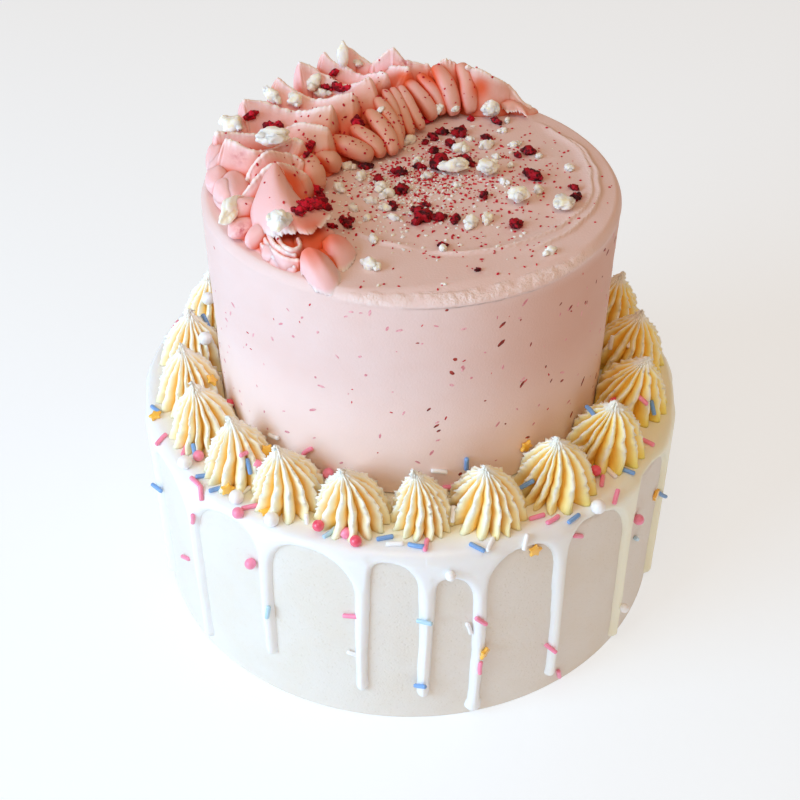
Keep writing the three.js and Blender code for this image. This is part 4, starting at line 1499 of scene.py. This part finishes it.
BERRY_BITS = [
    (-16.5, 7.7, 2.1), (-11.6, -1.8, 2.2), (-4.5, 3.4, 2.6), (-3.7, -9.5, 2.8), (-6.3, -20.6, 2.2),
    (3, 8, 1.9), (10.3, 9.6, 4.2), (19.8, 11.3, 3.1), (8.2, 20.3, 2), (14.6, 25.2, 2.4),
    (11.4, 34.8, 2), (17.8, 34.1, 3.1), (28.3, 31, 2), (32.7, 44.3, 2.1), (43.3, 20.1, 2.6),
    (43.4, 1.2, 3.2), (25.3, -12.7, 1.9), (5, -19.1, 1.7), (3.6, -29.2, 3.4), (9.1, -27.8, 2.6),
    (14.8, -29, 2.3), (35.6, -32, 2.5), (57.3, -13.6, 2.2), (57.3, -6.6, 1.7), (21.4, -59.3, 1.1),
    (10.5, -45, 1.5), (-21.9, -33.4, 2.2), (2, -24, 2.4), (8, 31, 2.2), (5, 27, 1.6),
    (39, 17.5, 1.7),
]

# Ivory and berry pieces on the ruffle: pixel and half size in millimetres
RUFFLE_IVORY = [
    (233, 127, 4.6), (273, 98, 3.5), (294, 102, 3.3), (314, 85, 3.5), (324, 95, 2.6), (357, 64, 2),
    (381, 112, 1.6), (439, 110, 2.3), (455, 110, 1.6), (507, 122, 1.7), (502, 132, 1.9),
    (514, 146, 2),
]
RUFFLE_BERRIES = [
    (251, 117, 2.5), (271, 129, 2.8), (280, 128, 2), (310, 148, 2.3), (334, 74, 1.8), (327, 89, 2),
    (337, 88, 2.5), (346, 90, 2), (356, 124, 2.8), (315, 190, 2.4), (306, 156, 1.5),
    (298, 213, 2.2), (305, 208, 2.6), (313, 206, 2.8), (321, 203, 2.8), (317, 196, 2.4),
    (326, 209, 2), (332, 227, 1.6), (343, 222, 2), (350, 222, 1.6), (428, 122, 2.6),
    (471, 120, 1.6),
]

# The chip that stands upright behind the ruffle: pixel and height, and half sizes
TALL_CHIP = (343, 55, 193)
TALL_CHIP_HALF = (2.4, 1.5, 5.4)

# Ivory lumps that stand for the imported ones: place, half sizes and turn
CHUNKS = [
    ((-48, -1, 189.5), (7, 3.8, 3.6), 0.2),
    ((-60.4, -34.4, 180.4), (3.4, 11, 2.8), -0.1),
    ((-42, -52, 186.5), (4.4, 4.2, 4), 0.6),
    ((15.2, 4.5, 176), (6, 3.8, 3), 0.1),
    ((27.4, 3.9, 176), (5, 4.4, 3), 0.9),
    ((36.9, -16.6, 176.2), (4.6, 4, 3.2), 0.4),
    ((52.4, -20.5, 175.8), (4.9, 4, 3), 1.2),
    ((30.5, 48, 177), (3.9, 3.6, 3.8), 0),
]


SHARD = 1
LUMP_CUTS = 9
LUMP_CUT_DEPTH = 0.8

# Share of a loose piece's size, and place along it, of each lump that it is made of
BIT_LUMPS = [(0.88, -0.15), (0.58, 0.55), (0.4, -0.8)]


def chunk(index):
    """A large ivory lump with knobs on its sides, or the plain shard."""
    (x, y, z), half, turn = CHUNKS[index]
    half = Vector(half) * MM
    knobs = [lump(half * 0.9, index + 2, subdivisions=4, knobs=0.22)]
    for k in range(0 if index == SHARD else 3):
        size = half * (0.5 - 0.06 * k)
        knob = lump(size, index + 7 * k + 3, subdivisions=3, knobs=0.2)
        aside = polar(0.55, GOLDEN_TURN * k + 40 * index, 0.16 * k)
        bmesh.ops.translate(knob, verts=knob.verts, vec=aside * half)
        knobs.append(knob)
    bm = joined(knobs)
    bmesh.ops.rotate(bm, verts=bm.verts, cent=(0, 0, 0), matrix=Matrix.Rotation(turn, 3, "Z"))
    bmesh.ops.translate(bm, verts=bm.verts, vec=Vector((x, y, z)) * MM)
    return closed(bm)


def bits(found, listed, seed, knobs=0.5):
    """Broken pieces laid on the cake where they were found, each of three lumps of its own."""
    parts = []
    for k, (spot, (_, _, size)) in enumerate(zip(found, listed)):
        if not spot:
            continue
        place, normal = spot
        upright = normal.lerp(Vector((0, 0, 1)), 0.5).normalized()
        long = 1.25 - 0.35 * spread(k, GOLDEN)
        half = Vector((long, 1 / long, BIT_FLATNESS)) * size * MM
        matrix = laid(place, upright, 2.4 * k, half.z * 0.5)
        for share, aside in BIT_LUMPS:
            bm = lump(half * share, seed + k + aside, subdivisions=3, knobs=knobs)
            off = Vector((long, 0.3, 0)) * size * MM * aside
            bmesh.ops.translate(bm, verts=bm.verts, vec=off)
            bmesh.ops.transform(bm, verts=bm.verts, matrix=matrix)
            parts.append(bm)
    return joined(parts)


def back_places(bed, count, seed, lift):
    """Where the sprinkles lie that the picture doesn't show: on the glaze's top or its wall."""
    rand = Random(seed)
    places = []
    for k in range(count):
        azimuth = BACK_START + BACK_SWEEP * spread(k + seed, GOLDEN) + rand.uniform(-2, 2)
        share = rand.random()
        turn = rand.uniform(0, math.tau)
        if share < SHARE_ON_TOP:
            spot = polar(lerp(*TOP_RADII, share / SHARE_ON_TOP) * MM, azimuth)
            found = bed.below(spot.x, spot.y)
        else:
            height = lerp(*WALL_HEIGHTS, (share - SHARE_ON_TOP) / (1 - SHARE_ON_TOP)) * MM
            found = bed.beside(azimuth, height)
        if found and found[0].z < HIGHEST_SPRINKLE:
            places.append(laid(*found, turn, lift))
    return places


def scattered(bed, pixels, lift, count, seed):
    """Where sprinkles of one kind lie: the ones that the picture shows, then some at the back."""
    places = []
    for k, pixel in enumerate(pixels):
        found = bed.seen(pixel)
        if found:
            turn = math.tau * spread(k * 3 + seed, GOLDEN)
            pitch = 0.25 * (spread(k, GOLDEN_REST) - 0.5)
            places.append(laid(*found, turn, lift, pitch=pitch))
    return places + back_places(bed, count, seed, lift)


def strands(sizes, bed, pixels, count, seed):
    """Sugar strands, every fourth one bent."""
    radius = sizes.strand_radius
    length = sizes.strand_length
    places = scattered(bed, pixels, radius * 0.75, count, seed)
    straight = [place for k, place in enumerate(places) if k % 4]
    return joined([
        copies(strand(radius, length, 0), straight),
        copies(strand(radius, length, 0.16 / length), places[::4]),
    ])


def pearls(bed, pixels, radius, count, seed):
    return copies(ball(3, radius), scattered(bed, pixels, radius * 0.75, count, seed))


def stars(sizes, bed, pixels, count, seed):
    radius = sizes.star_radius
    return copies(star(radius, 0.52 * radius), scattered(bed, pixels, radius * 0.28, count, seed))


def speck(uneven, lumps):
    """A tiny uneven ball."""
    return reshaped(ball(1), lambda p: p * (1 + uneven * noise.noise(p * lumps)))


def dust(bed, count, seed, centre, reach, size, highest=CLEAR_HEIGHT):
    """Fine specks thrown over the top face and the ruffle, thickest round a centre."""
    rand = Random(seed)
    places = []
    for _ in range(count):
        away = reach * abs(rand.gauss(0, 0.55)) ** 0.8
        angle = rand.uniform(0, math.tau)
        x = (centre[0] + away * math.cos(angle)) * MM
        y = (centre[1] + away * math.sin(angle)) * MM
        if math.hypot(x, y) > DUST_REACH:
            continue
        found = bed.below(x, y)
        if not found or found[0].z > highest:
            continue
        grow = rand.uniform(*size) * MM
        long = rand.uniform(0.7, 1.5)
        scale = (grow * long, grow / long, grow * 0.6)
        places.append(laid(*found, rand.uniform(0, math.tau), grow * 0.24, scale))
    return copies(speck(0.3, 2.1), places)


def wall_flecks(bed, count, seed, size, first=-180, last=180):
    """Slanted flecks pressed in the wall of the upper tier, from one azimuth round to another."""
    rand = Random(seed)
    places = []
    for k in range(count):
        azimuth = lerp(first, last, spread(k, GOLDEN)) + rand.uniform(-3, 3)
        z = lerp(*FLECK_HEIGHTS, rand.random()) * MM
        found = bed.beside(azimuth, z)
        if not found:
            continue
        place, normal = found
        up = Vector((0, 0, 1))
        slant = math.radians(rand.gauss(35, 45))
        way = up.cross(normal).normalized() * math.cos(slant) + up * math.sin(slant)
        turn = Matrix((way, normal.cross(way), normal)).transposed().to_quaternion()
        grow = rand.uniform(*size) * MM
        long = rand.uniform(0.7, 1.9)
        scale = Vector((grow * long, grow * 0.62, FLECK_HALF_THICKNESS))
        places.append(Matrix.LocRotScale(place, turn, scale))
    return copies(speck(0.35, 1.9), places)


# Stage


def area_light(name, azimuth, elevation, power, colour):
    """A soft round light that looks at the cake."""
    light = bpy.data.lights.new(name, "AREA")
    light.shape = "DISK"
    light.size = LIGHT_SIZE
    light.energy = power
    light.color = colour
    lamp = bpy.data.objects.new(name, light)
    bpy.context.scene.collection.objects.link(lamp)
    height = math.radians(elevation)
    back = polar(math.cos(height), azimuth, math.sin(height))
    lamp.location = LIGHT_AIM + back * LIGHT_DISTANCE
    lamp.rotation_euler = back.to_track_quat("Z", "Y").to_euler()


def stage():
    """The room's light, the floor and the camera."""
    scene = bpy.context.scene
    world = bpy.data.worlds.new("soft_room")
    scene.world = world
    world.use_nodes = True
    background = world.node_tree.nodes["Background"]
    background.inputs["Color"].default_value = (*ROOM_TINT, 1)
    background.inputs["Strength"].default_value = ROOM_STRENGTH
    area_light("window", **WINDOW)
    area_light("ceiling", **CEILING)

    bm = bmesh.new()
    bmesh.ops.create_circle(bm, cap_ends=True, segments=96, radius=FLOOR_RADIUS)
    finish = Finish("pale_floor", roughness=0.9, emission_strength=FLOOR_GLOW_STRENGTH,
                    emission_color=FLOOR_GLOW, base_color=FLOOR_TINT)
    mesh = bpy.data.meshes.new("floor")
    bm.to_mesh(mesh)
    bm.free()
    mesh.materials.append(finish.material)
    floor = bpy.data.objects.new("floor", mesh)
    scene.collection.objects.link(floor)
    floor.location.z = -FLOOR_DROP

    camera = bpy.data.objects.new("camera", bpy.data.cameras.new("camera"))
    scene.collection.objects.link(camera)
    camera.data.sensor_width = SENSOR
    camera.data.lens = FOCAL_PIXELS * SENSOR / PICTURE_SIDE
    camera.data.shift_x = 0.5 - CENTRE_PIXEL[0] / PICTURE_SIDE
    camera.data.shift_y = CENTRE_PIXEL[1] / PICTURE_SIDE - 0.5
    camera.data.clip_start = 0.01
    camera.location = VIEWPOINT
    camera.rotation_euler = camera_turn().to_euler()
    scene.camera = camera
    scene.view_settings.view_transform = "Standard"
    scene.view_settings.look = "None"


# Add-on


def length_of(name, description, default):
    return FloatProperty(name=name, description=description, default=default, unit="LENGTH")


class CakeSizes(bpy.types.PropertyGroup):
    lower_radius: length_of("Lower radius", "Radius of the lower tier", LOWER_RADIUS)
    lower_height: length_of("Lower height", "Height of the lower tier", LOWER_HEIGHT)
    upper_radius: length_of("Upper radius", "Radius of the upper tier", UPPER_RADIUS)
    glaze_thickness: length_of("Glaze", "Thickness of the glaze on the wall", 1.7 * MM)
    drip_thickness: length_of("Drips", "How far the drips stand proud", 2.6 * MM)
    kiss_radius: length_of("Kiss radius", "Radius of a piped kiss", 13.3 * MM)
    kiss_height: length_of("Kiss height", "Height of a piped kiss", 24.2 * MM)
    kiss_fins: IntProperty(name="Kiss fins", description="Fins round a piped kiss", default=15, min=6)
    kiss_twist: FloatProperty(
        name="Kiss twist", description="Turn of the fins from foot to tip", default=0.35,
        subtype="ANGLE")
    strand_radius: length_of("Strand radius", "Radius of a sugar strand", 0.85 * MM)
    strand_length: length_of("Strand length", "Length of a sugar strand", 6 * MM)
    star_radius: length_of("Star radius", "Radius of a gold star", 2.9 * MM)


def colour_of(name, description, default):
    return FloatVectorProperty(name=name, description=description, default=default,
                               subtype="COLOR", min=0, max=1)


class CakeColours(bpy.types.PropertyGroup):
    lower_cream: colour_of("Lower cream", "Smoothed cream of the lower tier", srgb(232, 225, 217))
    glaze: colour_of("Glaze", "White drip glaze", srgb(241, 242, 245))
    blush: colour_of("Blush cream", "Cream of the upper tier", srgb(233, 206, 201))
    ruffle: colour_of("Ruffle", "Faces of the ruffle", srgb(249, 196, 195))
    # Painted shade in the ruffle's creases and hollows.
    ruffle_hollow_shade: colour_of("Ruffle hollows", "Deep folds of the ruffle", srgb(236, 100, 54))
    kiss: colour_of("Kiss", "Crests of the kisses", srgb(255, 248, 212))
    # Painted shade in the kisses' grooves.
    kiss_groove_shade: colour_of("Kiss grooves", "Grooves of the kisses", srgb(255, 198, 66))
    ivory: colour_of("Ivory", "Crunch pieces", srgb(255, 252, 239))
    berry: colour_of("Berry", "Dried berry", srgb(188, 22, 42))
    pink: colour_of("Pink", "Pink sprinkles", srgb(250, 134, 172))
    deep_pink: colour_of("Deep pink", "Deep pink pearls", srgb(240, 40, 92))
    blue: colour_of("Blue", "Blue strands", srgb(104, 156, 218))
    gold: colour_of("Gold", "Gold stars", srgb(255, 190, 14))


class CakeOperator(bpy.types.Operator):
    """Shared settings of the operators that build the cake"""

    bl_options = {"REGISTER", "UNDO"}

    def execute(self, context):
        self.build(context.scene.cake_sizes, context.scene.cake_colours)
        return {"FINISHED"}


class CAKE_OT_stage(CakeOperator):
    """Make the floor, the lights and the camera"""

    bl_idname = "cake.stage"
    bl_label = "Stage"

    def build(self, sizes, colours):
        stage()


class CAKE_OT_lower_tier(CakeOperator):
    """Make the smoothed lower tier"""

    bl_idname = "cake.lower_tier"
    bl_label = "Lower tier"

    def build(self, sizes, colours):
        cream = colours.lower_cream
        finish = smoothed_cream("smoothed_cream", cream, toned(cream, CLOUDED_AND_POCK_SHADE_CREAM, 0.6))
        finished(lower_tier(sizes), "lower_cream", finish, ["lower_tier"])


class CAKE_OT_glaze(CakeOperator):
    """Pour the glaze and its drips"""

    bl_idname = "cake.glaze"
    bl_label = "Drip glaze"

    def build(self, sizes, colours):
        finish = poured_glaze("poured_glaze", colours.glaze)
        finished(drip_glaze(sizes), "poured_glaze", finish, ["drip_glaze"])


class CAKE_OT_upper_tier(CakeOperator):
    """Make the blush upper tier with its torn rim"""

    bl_idname = "cake.upper_tier"
    bl_label = "Upper tier"

    def build(self, sizes, colours):
        finish = scraped_cream("scraped_cream", colours.blush)
        finished(upper_tier(sizes), "blush_cream", finish, ["upper_tier"])


class CAKE_OT_kisses(CakeOperator):
    """Pipe the ring of kisses"""

    bl_idname = "cake.kisses"
    bl_label = "Kisses"

    def build(self, sizes, colours):
        # Crest colour, the painted warm shade of the right-hand side and the painted shade of the
        # grooves.
        tones = (colours.kiss, WARM_SHADE_KISS, colours.kiss_groove_shade)
        finish = piped_cream("kiss_cream", *tones, glow=(1.0, 0.9, 0.7), levels=(0.0, 0.85))
        for index in range(len(KISSES)):
            number = f"{index + 1:02d}"
            cream = kiss(sizes, index)
            finished(cream, f"cream_kiss_{number}", finish, [f"piped_kiss_{number}"])


class CAKE_OT_ruffle(CakeOperator):
    """Pipe the crescent ruffle"""

    bl_idname = "cake.ruffle"
    bl_label = "Ruffle"

    def build(self, sizes, colours):
        # Face colour, a painted warm shade and the painted shade of the hollows.
        tones = (colours.ruffle, toned(colours.ruffle, WARM_SHADE_RUFFLE, 0.9), colours.ruffle_hollow_shade)
        finish = piped_cream("ruffle_cream", *tones, glow=(1.0, 0.65, 0.5), levels=(0.15, 1))
        finished(ruffle(), "cream_ruffle", finish, ["piped_ruffle"])


def bed_of(*starts):
    """The cake's own pieces whose names start in one of these ways."""
    pieces = [piece for piece in bpy.context.scene.objects
              if piece.name.startswith(starts) and not piece.hide_render]
    bpy.context.view_layer.update()
    return Bed(pieces)


class CAKE_OT_chunks(CakeOperator):
    """Lay the ivory lumps and bits"""

    bl_idname = "cake.chunks"
    bl_label = "Ivory crunch"

    def build(self, sizes, colours):
        ivory_in_shade = toned(colours.ivory, HOLLOW_SHADE_IVORY, 0.5)
        finish = crumbly("ivory_crunch", colours.ivory, ivory_in_shade)
        for index in range(len(CHUNKS)):
            node = f"ivory_chunk_{index + 1}"
            finished(chunk(index), f"crunch_{index + 1}", finish, [node])
        bed = bed_of("blush_cream", "cream_ruffle")
        found = [bed.below(x * MM, y * MM) for x, y, _ in IVORY_BITS]
        found += [bed.seen((x, y)) for x, y, _ in RUFFLE_IVORY]
        pieces = bits(found, IVORY_BITS + RUFFLE_IVORY, seed=40, knobs=0.3)
        tall = lump(Vector(TALL_CHIP_HALF) * MM, seed=17, subdivisions=3, knobs=0.15)
        bmesh.ops.translate(tall, verts=tall.verts, vec=at_height(*TALL_CHIP))
        pieces = joined([pieces, tall])
        finished(pieces, "crunch_bits", finish)
        crumbs = dust(bed, count=620, seed=3, centre=(-3, -8), reach=44, size=(0.22, 0.8),
                      highest=175 * MM)
        finished(crumbs, "crunch_crumbs", finish, soft=False)


class CAKE_OT_berries(CakeOperator):
    """Scatter the dried berry bits and their dust"""

    bl_idname = "cake.berries"
    bl_label = "Dried berry"

    def build(self, sizes, colours):
        bed = bed_of("blush_cream", "cream_ruffle")
        wall = bed_of("blush_cream")
        dull = dried_berry("dried_berry", *DARK_BERRY)
        fresh = dried_berry("fresh_berry", *FRESH_BERRY)
        bright = dried_berry("berry_dust", BRIGHT_BERRY, colours.berry)
        pale = dried_berry("sunken_berry", *PALE_FLECK)
        dark = dried_berry("sunken_dark_berry", *DARK_FLECK)
        found = [bed.below(x * MM, y * MM) for x, y, _ in BERRY_BITS]
        seen = [bed.seen((x, y)) for x, y, _ in RUFFLE_BERRIES]
        finished(bits(found, BERRY_BITS, seed=90), "berry_bits", dull)
        finished(bits(seen, RUFFLE_BERRIES, seed=121), "ruffle_berries", fresh)
        specks = dust(bed, count=1500, seed=8, centre=(6, 0), reach=60, size=(0.22, 0.62))
        pale_flecks = wall_flecks(wall, count=240, seed=4, size=(0.4, 1.0))
        red_flecks = wall_flecks(wall, count=60, seed=5, size=(0.25, 0.6))
        dark_flecks = wall_flecks(wall, count=90, seed=6, size=(0.5, 1.3), first=0, last=200)
        finished(specks, "berry_specks", bright, soft=False)
        finished(pale_flecks, "pale_flecks", pale, soft=False)
        finished(red_flecks, "red_flecks", bright, soft=False)
        finished(dark_flecks, "dark_flecks", dark, soft=False)


class CAKE_OT_sprinkles(CakeOperator):
    """Scatter the strands, pearls and stars"""

    bl_idname = "cake.sprinkles"
    bl_label = "Sprinkles"

    def build(self, sizes, colours):
        bed = bed_of("lower_cream", "poured_glaze", "cream_kiss", "blush_cream")
        pink = sugar_shell("pink_sugar", colours.pink)
        deep_pink = sugar_shell("deep_pink_sugar", colours.deep_pink, 0.8)
        blue = sugar_shell("blue_sugar", colours.blue)
        pale_blue = sugar_shell("pale_blue_sugar", PALE_BLUE)
        white = sugar_shell("white_sugar", SUGAR_WHITE)
        gold = sugar_shell("gold_sugar", colours.gold, 0.7)
        large_white = pearls(bed, WHITE_PEARLS, LARGE_PEARL_RADIUS, count=6, seed=71)
        small_white = pearls(bed, SMALL_WHITE_PEARLS, SMALL_PEARL_RADIUS, count=0, seed=5)
        for name, finish, pixels, count, seed in (
            ("pink_strands", pink, PINK_STRANDS, 22, 11),
            ("blue_strands", blue, BLUE_STRANDS, 18, 23),
            ("pale_blue_strands", pale_blue, PALE_BLUE_STRANDS, 6, 31),
            ("white_strands", white, WHITE_STRANDS, 16, 47),
        ):
            finished(strands(sizes, bed, pixels, count, seed), name, finish)
        for name, finish, pixels, count, seed in (
            ("pink_pearls", pink, PINK_PEARLS, 7, 53),
            ("deep_pink_pearls", deep_pink, DEEP_PINK_PEARLS, 5, 61),
        ):
            finished(pearls(bed, pixels, PEARL_RADIUS, count, seed), name, finish)
        finished(joined([large_white, small_white]), "white_pearls", white)
        finished(stars(sizes, bed, GOLD_STARS, count=8, seed=83), "gold_stars", gold)


OPERATORS = (
    CAKE_OT_stage,
    CAKE_OT_lower_tier,
    CAKE_OT_glaze,
    CAKE_OT_upper_tier,
    CAKE_OT_kisses,
    CAKE_OT_ruffle,
    CAKE_OT_chunks,
    CAKE_OT_berries,
    CAKE_OT_sprinkles,
)


class CAKE_PT_panel(bpy.types.Panel):
    """Sizes, colours and pieces of the cake"""

    bl_idname = "CAKE_PT_panel"
    bl_label = "Party cake"
    bl_space_type = "VIEW_3D"
    bl_region_type = "UI"
    bl_category = "Cake"

    def draw(self, context):
        for group in (context.scene.cake_sizes, context.scene.cake_colours):
            box = self.layout.box()
            for name in group.__annotations__:
                box.prop(group, name)
        for operator in OPERATORS:
            self.layout.operator(operator.bl_idname)


CLASSES = (CakeSizes, CakeColours, *OPERATORS, CAKE_PT_panel)


def register():
    for item in CLASSES:
        bpy.utils.register_class(item)
    bpy.types.Scene.cake_sizes = PointerProperty(type=CakeSizes)
    bpy.types.Scene.cake_colours = PointerProperty(type=CakeColours)


def unregister():
    del bpy.types.Scene.cake_colours
    del bpy.types.Scene.cake_sizes
    for item in reversed(CLASSES):
        bpy.utils.unregister_class(item)


def main():
    register()
    for operator in OPERATORS:
        group, name = operator.bl_idname.split(".")
        getattr(getattr(bpy.ops, group), name)()


if __name__ == "__main__":
    main()
